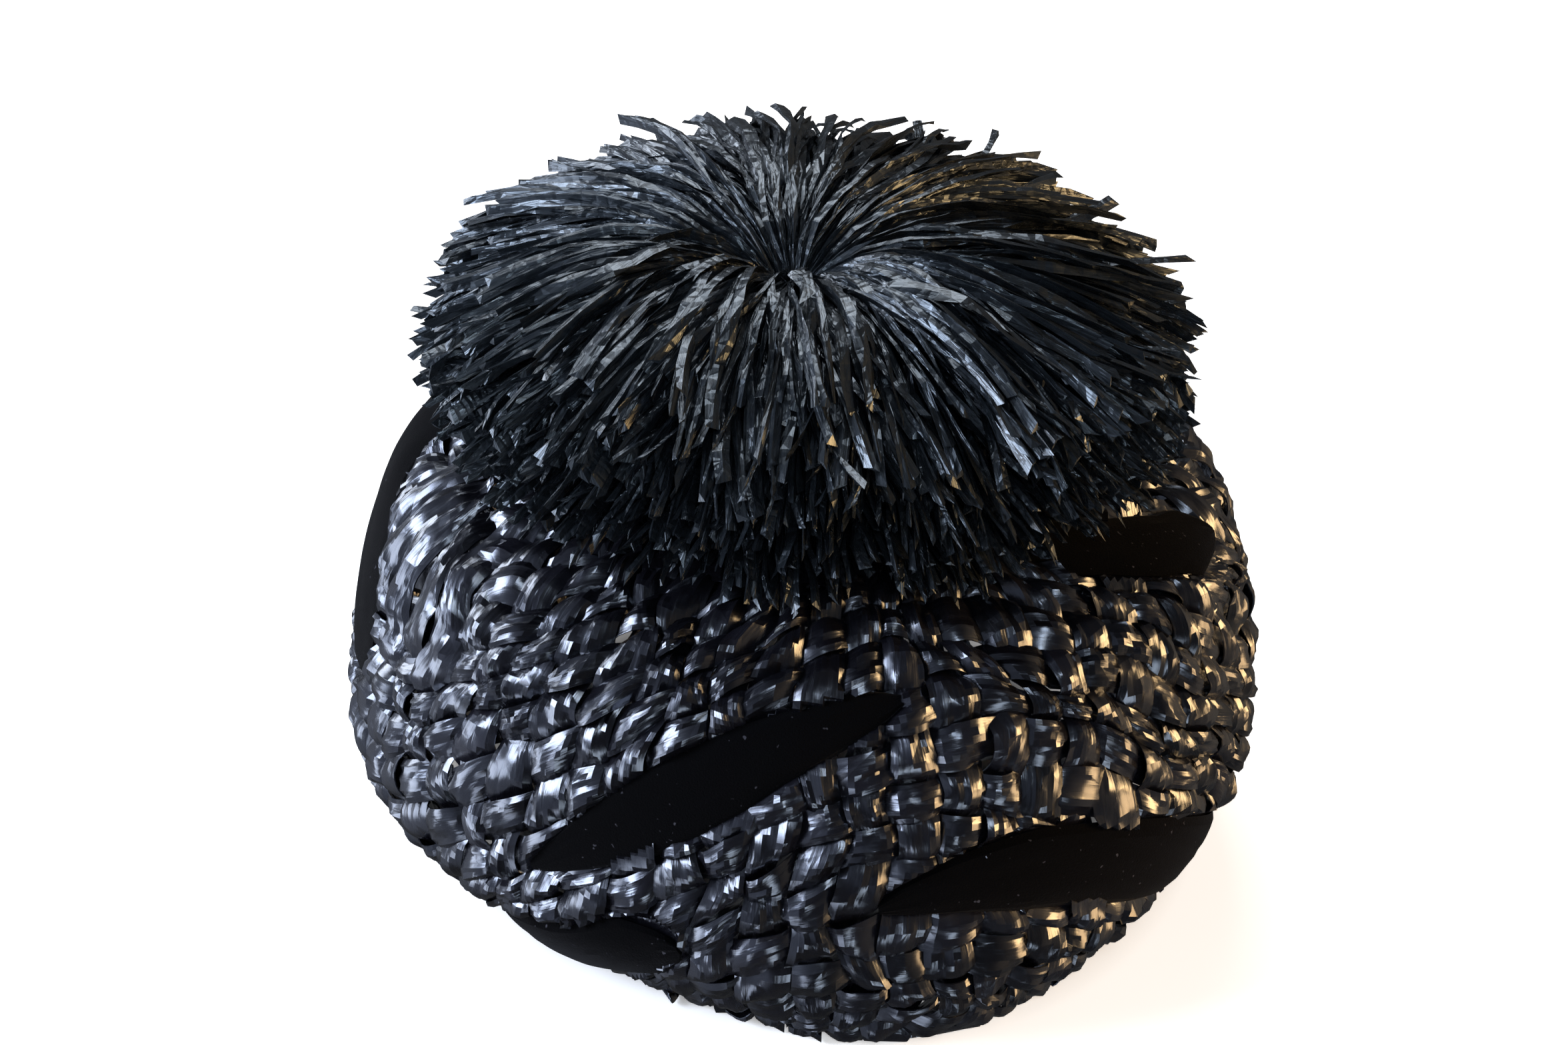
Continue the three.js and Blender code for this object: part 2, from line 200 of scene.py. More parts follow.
# Light from the room all round: azimuth and elevation of its middle, how far it reaches, the share
# of that reach where it is at its full strength, its strength and its colour.
ROOM_LIGHTS = [
    {"azimuth": -80, "elevation": 0, "reach": 75, "full": 0.15, "strength": 0.7,
     "colour": (0.72, 0.80, 1.0)},
    {"azimuth": 92, "elevation": 0, "reach": 60, "full": 0.15, "strength": 0.35,
     "colour": (1.0, 0.80, 0.58)},
    {"azimuth": -88, "elevation": -14, "reach": 17, "full": 0.8, "strength": 8,
     "colour": (0.80, 0.87, 1.0)},
    {"azimuth": -32, "elevation": -40, "reach": 10, "full": 0.8, "strength": 5,
     "colour": (0.80, 0.87, 1.0)},
    {"azimuth": 20, "elevation": -36, "reach": 10, "full": 0.8, "strength": 6,
     "colour": (0.82, 0.92, 1.0)},
    {"azimuth": 88, "elevation": -14, "reach": 13, "full": 0.8, "strength": 11,
     "colour": (1.0, 0.62, 0.28)},
]


class HatCrownSizes(bpy.types.PropertyGroup):
    """Sizes of the plaited crown"""

    diameter: bpy.props.FloatProperty(
        name="Diameter", description="Across the crown's widest line", default=0.215,
        unit="LENGTH")
    height: bpy.props.FloatProperty(
        name="Height", description="From the rim to the top of the crown", default=0.108,
        unit="LENGTH")
    rim_diameter: bpy.props.FloatProperty(
        name="Rim diameter", description="Across the rim", default=0.176, unit="LENGTH")
    widest_height: bpy.props.FloatProperty(
        name="Widest at", description="Height of the widest line", default=0.037, unit="LENGTH")
    pitch: bpy.props.FloatProperty(
        name="Row pitch", description="From one row of the plait to the next", default=0.0103,
        unit="LENGTH")
    columns: bpy.props.IntProperty(
        name="Columns", description="Upright straws round the crown", default=64)
    row_swing: bpy.props.FloatProperty(
        name="Row swing", description="How far the rows rise and fall round the crown",
        default=0.08, unit="LENGTH")
    row_peak: bpy.props.FloatProperty(
        name="Row peak", description="Azimuth where the rows stand highest, in degrees",
        default=17.0)
    rise: bpy.props.FloatProperty(
        name="Plait rise", description="How far a straw rises over its neighbours", default=0.0018,
        unit="LENGTH")
    arch: bpy.props.FloatProperty(
        name="Arch", description="How far a straw's middle stands above its edges", default=0.0013,
        unit="LENGTH")
    sunk: bpy.props.FloatProperty(
        name="Sunk", description="How deep the straws' edges lie under the crown's outline",
        default=0.0016, unit="LENGTH")
    pleat: bpy.props.FloatProperty(
        name="Pleat", description="Depth of the pleats along the straws", default=0.00030,
        unit="LENGTH")
    crumple: bpy.props.FloatProperty(
        name="Crumple", description="Size of the straws' crumples", default=0.00028, unit="LENGTH")
    tilt: bpy.props.FloatProperty(
        name="Tilt", description="How far a straw's edges rise and fall where it turns over",
        default=0.0011, unit="LENGTH")
    colour: bpy.props.FloatVectorProperty(
        name="Straw colour", description="Colour of the glossy straw", subtype="COLOR",
        default=(0.0028, 0.0028, 0.0042))


class HatRibbonSizes(bpy.types.PropertyGroup):
    """Sizes of the velvet ribbons"""

    width: bpy.props.FloatProperty(
        name="Width", description="Across a ribbon", default=0.018, unit="LENGTH")
    edge: bpy.props.FloatProperty(
        name="Edge", description="How far a ribbon's edges stand out of the crown", default=0.0001,
        unit="LENGTH")
    puff: bpy.props.FloatProperty(
        name="Puff", description="How far a ribbon's middle stands up", default=0.0006,
        unit="LENGTH")
    sink: bpy.props.FloatProperty(
        name="Sink", description="Depth of a ribbon's underside in the crown", default=0.0012,
        unit="LENGTH")
    colour: bpy.props.FloatVectorProperty(
        name="Velvet colour", description="Colour of the velvet's pile", subtype="COLOR",
        default=(0.0012, 0.0012, 0.0015))


class HatPompomSizes(bpy.types.PropertyGroup):
    """Sizes of the straw pompom"""

    diameter: bpy.props.FloatProperty(
        name="Diameter", description="Across the pompom", default=0.170, unit="LENGTH")
    height: bpy.props.FloatProperty(
        name="Height", description="From its underside to the top of its dome", default=0.050,
        unit="LENGTH")
    shift: bpy.props.FloatProperty(
        name="Shift", description="Sideways from the crown's axis", default=-0.002, unit="LENGTH")
    tie_x: bpy.props.FloatProperty(
        name="Tie X", description="Sideways from the pompom's middle to its tie", default=-0.005,
        unit="LENGTH")
    tie_y: bpy.props.FloatProperty(
        name="Tie Y", description="From the pompom's middle to its tie, towards the back",
        default=-0.007, unit="LENGTH")
    straw_width: bpy.props.FloatProperty(
        name="Straw width", description="Across the widest flat cut straw", default=0.0030,
        unit="LENGTH")
    seed: bpy.props.IntProperty(
        name="Seed", description="Number that sets how the straws are scattered", default=7)
    colour: bpy.props.FloatVectorProperty(
        name="Pompom colour", description="Colour of the satin straw", subtype="COLOR",
        default=(0.0068, 0.0082, 0.0100))


class HatStageSizes(bpy.types.PropertyGroup):
    """Camera and lights"""

    elevation: bpy.props.FloatProperty(
        name="Elevation", description="Camera's angle above the level, in degrees", default=34.0)
    roll: bpy.props.FloatProperty(
        name="Roll", description="Clockwise lean of the hat in the picture, in degrees",
        default=2.8)
    distance: bpy.props.FloatProperty(
        name="Distance", description="From the camera to the hat's middle", default=0.750,
        unit="LENGTH")
    key_power: bpy.props.FloatProperty(
        name="Key power", description="Strength of the cool light on the left", default=110.0)
    warm_power: bpy.props.FloatProperty(
        name="Warm power", description="Strength of the warm light on the right", default=80.0)
    side_power: bpy.props.FloatProperty(
        name="Side power", description="Strength of the cool light behind on the left",
        default=30.0)
    front_power: bpy.props.FloatProperty(
        name="Front power", description="Strength of the small cool light in front", default=14.0)
    back_power: bpy.props.FloatProperty(
        name="Back power", description="Strength of the soft light behind", default=46.0)
    room: bpy.props.FloatProperty(
        name="Room", description="Strength of the dim light from all round", default=0.06)


# Crown's surface

# Steps of the crown's curve up from the rim, and between two of its sections.
RIM_STEPS = 4
CURVE_STEPS = 60
# Nothing of the crown lies lower than this.
LOWEST = 0.2 * MM


class CrownSurface:
    """The crown's outside: a curve of sections turned about the axis, with the soft rim's dents."""

    def __init__(self, sizes):
        self.radius = sizes.diameter / 2
        self.widest = sizes.widest_height
        self.swing = sizes.row_swing
        self.peak = sizes.row_peak
        points = [(0.0, sizes.height)]
        for row in reversed(TOP_SECTIONS):
            height = sizes.widest_height + row["up"] * (sizes.height - sizes.widest_height)
            points.append((row["out"] * self.radius, height))
        rim = sizes.rim_diameter / 2
        for step in range(RIM_STEPS, -1, -1):
            share = step / RIM_STEPS
            out = rim + (self.radius - rim) * math.sin(share * math.pi / 2)
            points.append((out, share * sizes.widest_height))
        curve = smooth_curve(np.array(points), CURVE_STEPS)
        steps = np.linalg.norm(np.diff(curve, axis=0), axis=1)
        self.lengths = np.concatenate([[0.0], np.cumsum(steps)])
        self.curve = curve
        self.arc = self.lengths[-1]
        self.tangents = np.gradient(curve, self.lengths, axis=0)

    def row_rise(self, azimuth):
        """How far down a row lies at an azimuth, below its highest place."""
        return self.swing * (1 - np.cos(2 * np.radians(azimuth - self.peak))) / 2

    def radius_at(self, along):
        return np.interp(along, self.lengths, self.curve[:, 0])

    def at(self, azimuth, along, offset):
        """Points from azimuth in degrees, length down from the top and distance out."""
        radius = np.interp(along, self.lengths, self.curve[:, 0])
        height = np.interp(along, self.lengths, self.curve[:, 1])
        out = np.interp(along, self.lengths, self.tangents[:, 0])
        down = np.interp(along, self.lengths, self.tangents[:, 1])
        past = np.maximum(along - self.arc, 0)
        radius = radius + past * out - down * offset
        height = height + past * down + out * offset
        for row in DENTS:
            turn = (azimuth - row["azimuth"] + 180) % 360 - 180
            side = bell(turn / row["span"])
            radius = radius + row["push"] * self.radius * side * bell(
                np.maximum(height, 0) / (row["reach"] * self.widest))
        turn = np.radians(azimuth)
        x = AXIS_X + radius * np.sin(turn)
        return np.stack([x, -radius * np.cos(turn), np.maximum(height, LOWEST)], axis=-1)


def bell(distance):
    return np.where(np.abs(distance) < 1, np.cos(distance * math.pi / 2) ** 2, 0.0)


def smooth_curve(points, steps):
    """A Catmull-Rom curve through the points."""
    padded = np.vstack([points[:1], points, points[-1:]])
    share = np.linspace(0, 1, steps, endpoint=False)[:, None]
    pieces = []
    for i in range(len(points) - 1):
        a, b, c, d = padded[i:i + 4]
        slope_in = (c - a) / 2
        slope_out = (d - b) / 2
        cubic = (2 * b - 2 * c + slope_in + slope_out) * share ** 3
        square = (-3 * b + 3 * c - 2 * slope_in - slope_out) * share ** 2
        pieces.append(cubic + square + slope_in * share + b)
    pieces.append(points[-1:])
    return np.vstack(pieces)


def wander(rng, count, spacing, size):
    """A smooth random line of count values with a knot every spacing values."""
    knots = rng.normal(0, size, max(int(count / spacing) + 3, 4))
    return np.interp(np.arange(count) / spacing, np.arange(len(knots)), knots)


# Ribbons as places on the crown


def ribbon_line(surface, ribbon, share):
    """Azimuth, row and half-width share along a ribbon."""
    azimuth = ribbon["ends"][0] + share * (ribbon["ends"][1] - ribbon["ends"][0])
    row = ribbon["rows"][0] + share * (ribbon["rows"][1] - ribbon["rows"][0])
    narrow = np.minimum(share / ribbon["narrow"][0], (1 - share) / ribbon["narrow"][1])
    fullness = np.sqrt(np.clip(narrow, 0.02, 1))
    return azimuth, row * surface.arc, fullness


def row_fall(surface, azimuth, along):
    """Slope of a row on the crown at an azimuth."""
    step = 0.5
    drop = surface.row_rise(azimuth + step) - surface.row_rise(azimuth - step)
    return drop / (surface.radius_at(along) * math.radians(2 * step))


def inside_ribbon(surface, ribbon_sizes, azimuth, along):
    """How far inside the nearest ribbon's edge each place lies. Negative is outside."""
    depth = np.full(np.shape(azimuth), -1.0)
    row = along - surface.row_rise(azimuth)
    fall = row_fall(surface, azimuth, np.clip(along, 0.03, surface.arc))
    for ribbon in RIBBONS.values():
        first, last = ribbon["ends"]
        middle = (first + last) / 2
        turn = (azimuth - middle + 180) % 360 - 180
        share = 0.5 + turn / (last - first)
        on_line = (share >= 0) & (share <= 1)
        _, line_row, fullness = ribbon_line(surface, ribbon, np.clip(share, 0, 1))
        across = np.abs(row - line_row) / np.hypot(1, fall)
        here = ribbon_sizes.width * ribbon["wide"] / 2 * fullness - across
        depth = np.where(on_line, np.maximum(depth, here), depth)
    return depth


# Meshes

CREASE_ANGLE = math.radians(16)


class MeshParts:
    """Points, faces, and a place along and across each face corner, gathered for one mesh."""

    def __init__(self):
        self.points = []
        self.faces = []
        self.places = []
        self.shades = []
        self.count = 0

    def strip(self, rows, place, shade, closed):
        """Joins rows of points into faces. A closed strip is a band round a thin straw."""
        long, wide = rows.shape[:2]
        index = self.count + np.arange(long * wide).reshape(long, wide)
        around = np.arange(wide if closed else wide - 1)
        beside = (around + 1) % wide
        quads = np.stack([
            index[:-1][:, around], index[:-1][:, beside],
            index[1:][:, beside], index[1:][:, around]], axis=-1).reshape(-1, 4)
        self.points.append(rows.reshape(-1, 3))
        self.faces.extend(quads.tolist())
        self.places.append(place.reshape(-1, 2))
        self.shades.append(np.full(long * wide, shade))
        if closed:
            self.faces.append(index[0][::-1].tolist())
            self.faces.append(index[-1].tolist())
        self.count += long * wide

    def build(self, name, smooth):
        mesh = bpy.data.meshes.new(name)
        mesh.from_pydata(np.concatenate(self.points).tolist(), [], self.faces)
        places = np.concatenate(self.places)
        corners = np.empty(len(mesh.loops), dtype=np.int32)
        mesh.loops.foreach_get("vertex_index", corners)
        layer = mesh.uv_layers.new(name="UVMap")
        layer.uv.foreach_set("vector", places[corners].astype(np.float32).ravel())
        shade = mesh.attributes.new("shade", "FLOAT", "POINT")
        shade.data.foreach_set("value", np.concatenate(self.shades).astype(np.float32))
        mesh.polygons.foreach_set("use_smooth", [smooth] * len(mesh.polygons))
        mesh.update()
        if smooth:
            mesh.set_sharp_from_angle(angle=CREASE_ANGLE)
        return mesh


def place_piece(name, mesh, material):
    piece = bpy.data.objects.new(name, mesh)
    bpy.context.scene.collection.objects.link(piece)
    mesh.materials.clear()
    mesh.materials.append(material)
    return piece


# Plaited crown

STRAW_ACROSS = 8
STRAW_STEP = 1.4 * MM
STRAW_THICKNESS = 0.3 * MM
TOP_EDGE = 62 * MM
RIM_FOLD = 1.2 * MM
TURNED_IN = 7 * MM
# How far the flat plait of the top runs on under the straws of the sides, and how deep it lies.
TOP_LAP = 8 * MM
TOP_SUNK = 0.9 * MM
TOP_ACROSS = 4
# A level straw that leaves the crown sooner than this many steps of its line is left out.
SHORTEST_LINE = 12


def straw_wave(cells):
    """Height of a plaited straw along its cells, from 1 over to -1 under."""
    wave = np.cos(math.pi * cells)
    return np.sign(wave) * np.abs(wave) ** 0.7


class Plait:
    """Crumpled flat straws that pass over and under each other on the crown."""

    # Share of the straws beside a ribbon that stay under its edge, and how high the others lie.
    laid_over = 0.86
    laid_height = 0.8 * MM

    # Half-widths of the straws as shares of a column and of a row, and how far they differ.
    upright_half = 0.49
    level_half = 0.47
    half_differs = 0.07
    # How far the straws drift sideways, as shares of a column and of a row.
    upright_drift = 0.07
    level_drift = 0.06
    # Steps along a straw between changes of its width and of its drift.
    width_steps = 6
    drift_steps = 8

    # How flat a straw's back is across.
    arch_power = 2.6
    # Pleats: their least depth, how many lie across a straw, how far that differs, and their shift.
    least_pleat = 0.3
    pleats_across = 1.4
    pleats_differ = 0.5
    pleats_shift = 0.8
    # The most that a straw's edges rise or fall by its tilt.
    most_tilt = 1.4 * MM
    # Steps along a straw between its small crumples.
    crumple_steps = 2.2

    # Room over the level that the hat rests on: at the rim, and for each length above it.
    rim_room = 0.1 * MM
    room_slope = 0.6

    def __init__(self, sizes, ribbon_sizes, seed):
        self.sizes = sizes
        self.ribbon_sizes = ribbon_sizes
        self.surface = CrownSurface(sizes)
        self.spacing = 360 / sizes.columns
        self.rng = np.random.default_rng(seed)
        self.parts = MeshParts()

    def uneven(self, azimuth, along):
        """How far upright straws lie over the others at a place, and how wide they are."""
        over = np.zeros(np.shape(azimuth))
        width = np.ones(np.shape(azimuth))
        for row in UNEVEN:
            turn = (azimuth - row["azimuth"]) / row["turn"]
            length = (along / self.surface.arc - row["row"]) / row["length"]
            here = np.clip(2 - 2 * np.hypot(turn, length), 0, 1)
            over = over + here * row["over"]
            width = width + here * (row["width"] - 1)
        return over, width

    def wavered(self, azimuth, along):
        """Places pushed out of true by the waves that run through the plait."""
        sideways, down = 0, 0
        for row in WAVER:
            angle = row["round"] * np.radians(azimuth) + along / MM / row["length"] * 2 * math.pi
            sideways = sideways + row["push"] * MM * np.sin(angle + row["start"])
            down = down + row["push"] * MM * np.sin(angle + row["start"] * 2 + 1)
        fade = np.clip((self.surface.arc - along) / (12 * MM), 0, 1)
        turned = azimuth + np.degrees(sideways / self.surface.radius_at(along))
        return turned, along + down * fade

    def crumples(self, long, wide):
        """Pleats along a straw, its tilt from side to side and its crumples."""
        sizes = self.sizes
        across = np.linspace(-1, 1, wide)[None, :]
        cell = sizes.pitch / STRAW_STEP
        depth = np.abs(wander(self.rng, long, cell * 0.7, 1.0))[:, None] + self.least_pleat
        folds = self.pleats_across + wander(self.rng, long, cell, self.pleats_differ)[:, None]
        phase = wander(self.rng, long, cell * 0.8, self.pleats_shift)[:, None]
        pleats = np.abs((across * folds + phase) % 2 - 1) * 2 - 1
        tilt = wander(self.rng, long, cell * 0.9, sizes.tilt)
        tilt = np.clip(tilt, -self.most_tilt, self.most_tilt)[:, None] * across
        coarse = np.stack([wander(self.rng, long, self.crumple_steps, sizes.crumple)
                           for _ in range(wide)], axis=1)
        return sizes.pleat * depth * pleats + tilt + coarse

    def tucked(self, azimuth, along, offset, cells):
        """Offsets beside and under the velvet, where a few straws lie over its edge."""
        depth = inside_ribbon(self.surface, self.ribbon_sizes, azimuth, along) / MM
        first = math.floor(cells.min())
        chance = self.rng.random(math.ceil(cells.max()) - first + 2)
        reach = np.interp(cells, first + np.arange(len(chance)), chance * 1.5 - 0.9)
        inside = [row["inside"] for row in TUCK]
        top = np.interp(depth - reach, inside, [row["top"] for row in TUCK]) * MM
        here = chance[np.floor(cells + 0.5).astype(int) - first]
        edge = (here - self.laid_over) / (1 - self.laid_over) * 3 + 1
        over = (here > self.laid_over) & (depth > -0.8) & (depth < edge)
        laid = np.where(over, self.laid_height, -1)
        laid = np.where(offset > -1.2 * MM, laid, -1)
        return np.minimum(np.maximum(offset, laid), np.maximum(top, laid))

    def band(self, azimuth, along, height, cells, shade):
        """One straw from its places on the crown. It is folded in where it passes the rim."""
        long, wide = azimuth.shape
        azimuth, along = self.wavered(azimuth, along)
        across = np.linspace(-1, 1, wide)
        arch = self.sizes.arch * (1 - np.abs(across) ** self.arch_power)
        offset = height - self.sizes.sunk + arch
        offset = self.tucked(azimuth, along, offset + self.crumples(long, wide), cells)
        # Near the rim a straw keeps above the level that the hat rests on.
        room = self.rim_room + self.room_slope * np.maximum(self.surface.arc - along, 0)
        offset = np.minimum(offset, room)
        past = np.maximum(along - (self.surface.arc - RIM_FOLD), 0)
        turn = np.minimum(past / RIM_FOLD, math.pi)
        inside = np.maximum(past - math.pi * RIM_FOLD, 0)
        folded = self.surface.arc - RIM_FOLD + RIM_FOLD * np.sin(turn) - inside
        along = np.where(past > 0, folded, along)
        offset = offset * np.cos(turn) - RIM_FOLD * (1 - np.cos(turn))
        front = self.surface.at(azimuth, along, offset)
        behind = offset - STRAW_THICKNESS * np.cos(turn)
        back = self.surface.at(azimuth, along, behind)[:, [-1, 0]]
        rows = np.concatenate([front, back], axis=1)
        travel = np.arange(long)[:, None] * STRAW_STEP + np.zeros((1, wide + 2))
        sides = np.concatenate([across, [1.0, -1.0]])[None, :] * 0.5 * self.sizes.pitch
        place = np.stack([travel, sides + shade * 0.37 + np.zeros_like(travel)], axis=-1)
        self.parts.strip(rows, place, shade, True)

    def add_uprights(self):
        """A straw down each column, from under the pompom, folded in at the rim."""
        length = self.surface.arc - TOP_EDGE + TURNED_IN
        count = int(length / STRAW_STEP)
        line = TOP_EDGE + np.arange(count + 1) * length / count
        across = np.linspace(-1, 1, STRAW_ACROSS)[None, :]
        for column in range(self.sizes.columns):
            middle = (column + 0.5) * self.spacing + wander(
                self.rng, count + 1, self.drift_steps, self.spacing * self.upright_drift)
            middle = (middle + 180) % 360 - 180
            width = self.spacing * self.upright_half * (
                1 + wander(self.rng, count + 1, self.width_steps, self.half_differs))
            azimuth = middle[:, None] + width[:, None] * across
            along = np.repeat(line[:, None], STRAW_ACROSS, axis=1)
            over, narrow = self.uneven(azimuth, along)
            azimuth = middle[:, None] + width[:, None] * across * narrow
            cells = (along - self.surface.row_rise(azimuth)) / self.sizes.pitch - 0.5
            wave = straw_wave(cells) * (1 if column % 2 == 0 else -1)
            height = self.sizes.rise * (wave + (1 - wave) * over)
            self.band(azimuth, along, height, cells, self.rng.random())

    def add_rows(self):
        """A straw along each row that rises and falls round the crown, cut where it leaves."""
        fine = np.linspace(-180, 180, 721)
        across = np.linspace(-1, 1, STRAW_ACROSS)[None, :]
        for row in range(int(self.surface.arc / self.sizes.pitch) + 1):
            line = (row + 0.5) * self.sizes.pitch + self.surface.row_rise(fine)
            shown = (line > TOP_EDGE) & (line < self.surface.arc - 0.5 * MM)
            edges = np.flatnonzero(np.diff(np.concatenate([[0], shown, [0]]).astype(int)))
            for first, last in zip(edges[::2], edges[1::2]):
                if last - first < SHORTEST_LINE:
                    continue
                span, down = fine[first:last], line[first:last]
                radius = self.surface.radius_at(down)[:-1]
                step = np.hypot(np.diff(down), radius * np.radians(np.diff(span)))
                length = np.concatenate([[0], np.cumsum(step)])
                count = max(int(length[-1] / STRAW_STEP), 4)
                middle = np.interp(np.linspace(0, length[-1], count + 1), length, span)
                width = self.sizes.pitch * self.level_half * (
                    1 + wander(self.rng, count + 1, self.width_steps, self.half_differs))
                drift = wander(
                    self.rng, count + 1, self.drift_steps, self.sizes.pitch * self.level_drift)
                azimuth = np.repeat(middle[:, None], STRAW_ACROSS, axis=1)
                along = (row + 0.5) * self.sizes.pitch + self.surface.row_rise(azimuth)
                along = along + drift[:, None] - width[:, None] * across
                along = np.minimum(along, self.surface.arc - RIM_FOLD * 0.5)
                cells = azimuth / self.spacing - 0.5
                wave = -straw_wave(cells) * (1 if row % 2 == 0 else -1)
                over, _ = self.uneven(azimuth, along)
                height = self.sizes.rise * (wave - (1 + wave) * over)
                self.band(azimuth, along, height, cells, self.rng.random())

    def add_top(self):
        """The flat plait of the crown's top, under the pompom and seen from inside."""
        pitch = self.sizes.pitch
        reach = TOP_EDGE + TOP_LAP
        lines = int(reach / pitch)
        for turned in (False, True):
            for line in range(-lines, lines + 1):
                half = math.sqrt(max(reach ** 2 - (line * pitch) ** 2, 0))
                count = int(half / STRAW_STEP)
                if count < 4:
                    continue
                travel = np.linspace(-half, half, count + 1)[:, None]
                across = np.linspace(-1, 1, TOP_ACROSS)[None, :]
                side = line * pitch + across * pitch * self.level_half + 0 * travel
                travel = travel + 0 * across
                wave = straw_wave(travel / pitch + line) * (-1 if turned else 1)
                height = self.sizes.rise * wave - TOP_SUNK
                height = height + self.rng.normal(0, self.sizes.crumple, height.shape)
                x, y = (side, travel) if turned else (travel, -side)
                along = np.hypot(x, y)
                azimuth = np.degrees(np.arctan2(x, -y))
                front = self.surface.at(azimuth, along, height)
                behind = height - STRAW_THICKNESS
                back = self.surface.at(azimuth, along, behind)[:, [-1, 0]]
                rows = np.concatenate([front, back], axis=1)
                sides = np.concatenate([side, side[:, [-1, 0]]], axis=1)
                travels = np.concatenate([travel, travel[:, [-1, 0]]], axis=1)
                place = np.stack([travels, sides], axis=-1)
                self.parts.strip(rows, place, self.rng.random(), True)


# Materials


def new_material(name):
    material = bpy.data.materials.new(name)
    material.use_nodes = True
    nodes = material.node_tree.nodes
    nodes.clear()
    output = nodes.new("ShaderNodeOutputMaterial")
    shader = nodes.new("ShaderNodeBsdfPrincipled")
    material.node_tree.links.new(shader.outputs["BSDF"], output.inputs["Surface"])
    return material, nodes, material.node_tree.links, shader


def straw_grain_group():
    """Shared by both straws: lengthwise fibres and sharp crumples, as heights and as streaks."""
    name = "straw_grain"
    if name in bpy.data.node_groups:
        return bpy.data.node_groups[name]
    group = bpy.data.node_groups.new(name, "ShaderNodeTree")
    for socket, default in (("Fibres", 1200.0), ("Crumple", 220.0), ("Crumple share", 0.5)):
        made = group.interface.new_socket(socket, in_out="INPUT", socket_type="NodeSocketFloat")
        made.default_value = default
    group.interface.new_socket("Place", in_out="INPUT", socket_type="NodeSocketVector")
    group.interface.new_socket("Height", in_out="OUTPUT", socket_type="NodeSocketFloat")
    group.interface.new_socket("Streaks", in_out="OUTPUT", socket_type="NodeSocketFloat")
    nodes, links = group.nodes, group.links
    source = nodes.new("NodeGroupInput")
    result = nodes.new("NodeGroupOutput")

    def stretched(node, scale, stretch):
        shorter = nodes.new("ShaderNodeVectorMath")
        shorter.operation = "MULTIPLY"
        shorter.inputs[1].default_value = (stretch, 1.0, 1.0)
        links.new(source.outputs["Place"], shorter.inputs[0])
        links.new(shorter.outputs[0], node.inputs["Vector"])
        links.new(source.outputs[scale], node.inputs["Scale"])

    noise = nodes.new("ShaderNodeTexNoise")
    noise.inputs["Detail"].default_value = 3
    stretched(noise, "Fibres", 0.06)
    fibres = noise.outputs["Fac"]
    facets = nodes.new("ShaderNodeTexVoronoi")
    facets.feature = "DISTANCE_TO_EDGE"
    stretched(facets, "Crumple", 0.6)
    crumple = facets.outputs["Distance"]
    mix = nodes.new("ShaderNodeMix")
    links.new(source.outputs["Crumple share"], mix.inputs["Factor"])
    links.new(fibres, mix.inputs["A"])
    links.new(crumple, mix.inputs["B"])
    links.new(mix.outputs["Result"], result.inputs["Height"])
    links.new(fibres, result.inputs["Streaks"])
    return group


def add_grain(nodes, links, fibres, crumple, share):
    place = nodes.new("ShaderNodeUVMap")
    place.uv_map = "UVMap"
    grain = nodes.new("ShaderNodeGroup")
    grain.node_tree = straw_grain_group()
    grain.inputs["Fibres"].default_value = fibres
    grain.inputs["Crumple"].default_value = crumple
    grain.inputs["Crumple share"].default_value = share
    links.new(place.outputs["UV"], grain.inputs["Place"])
    return grain


def add_bump(nodes, links, shader, height, strength, distance):
    bump = nodes.new("ShaderNodeBump")
    bump.inputs["Strength"].default_value = strength
    bump.inputs["Distance"].default_value = distance
    links.new(height, bump.inputs["Height"])
    links.new(bump.outputs["Normal"], shader.inputs["Normal"])


def add_range(nodes, links, value, low, high, low_out, high_out):
    node = nodes.new("ShaderNodeMapRange")
    node.inputs["From Min"].default_value = low
    node.inputs["From Max"].default_value = high
    node.inputs["To Min"].default_value = low_out
    node.inputs["To Max"].default_value = high_out
    links.new(value, node.inputs["Value"])
    return node.outputs["Result"]


def add_ramp(nodes, links, value, stops):
    ramp = nodes.new("ShaderNodeValToRGB")
    elements = ramp.color_ramp.elements
    while len(elements) < len(stops):
        elements.new(0.5)
    for element, (place, colour) in zip(elements, stops):
        element.position = place
        element.color = (*colour, 1)
    links.new(value, ramp.inputs["Fac"])
    return ramp.outputs["Color"]


def tinted(colour, factor, tint=(1, 1, 1)):
    return tuple(c * factor * t for c, t in zip(colour, tint))


def glossy_straw(colour):
    """Near-black crinkled film straw, with a sharp cool gloss."""
    material, nodes, links, shader = new_material("glossy_black_straw")
    grain = add_grain(nodes, links, fibres=900, crumple=170, share=0.85)
    shade = nodes.new("ShaderNodeAttribute")
    shade.attribute_name = "shade"
    colours = add_ramp(nodes, links, shade.outputs["Fac"], [
        (0.0, tinted(colour, 0.7)), (0.6, tinted(colour, 1.2)), (1.0, tinted(colour, 1.8))])
    links.new(colours, shader.inputs["Base Color"])
    rough = add_range(nodes, links, grain.outputs["Streaks"], 0.3, 0.7, low_out=0.16, high_out=0.30)
    links.new(rough, shader.inputs["Roughness"])
    shader.inputs["Specular IOR Level"].default_value = 0.75
    shader.inputs["Specular Tint"].default_value = (0.76, 0.83, 1.0, 1)
    shader.inputs["Coat Weight"].default_value = 0.1
    shader.inputs["Coat Roughness"].default_value = 0.05
    add_bump(nodes, links, shader, grain.outputs["Height"], strength=0.45, distance=1.4 * MM)
    return material


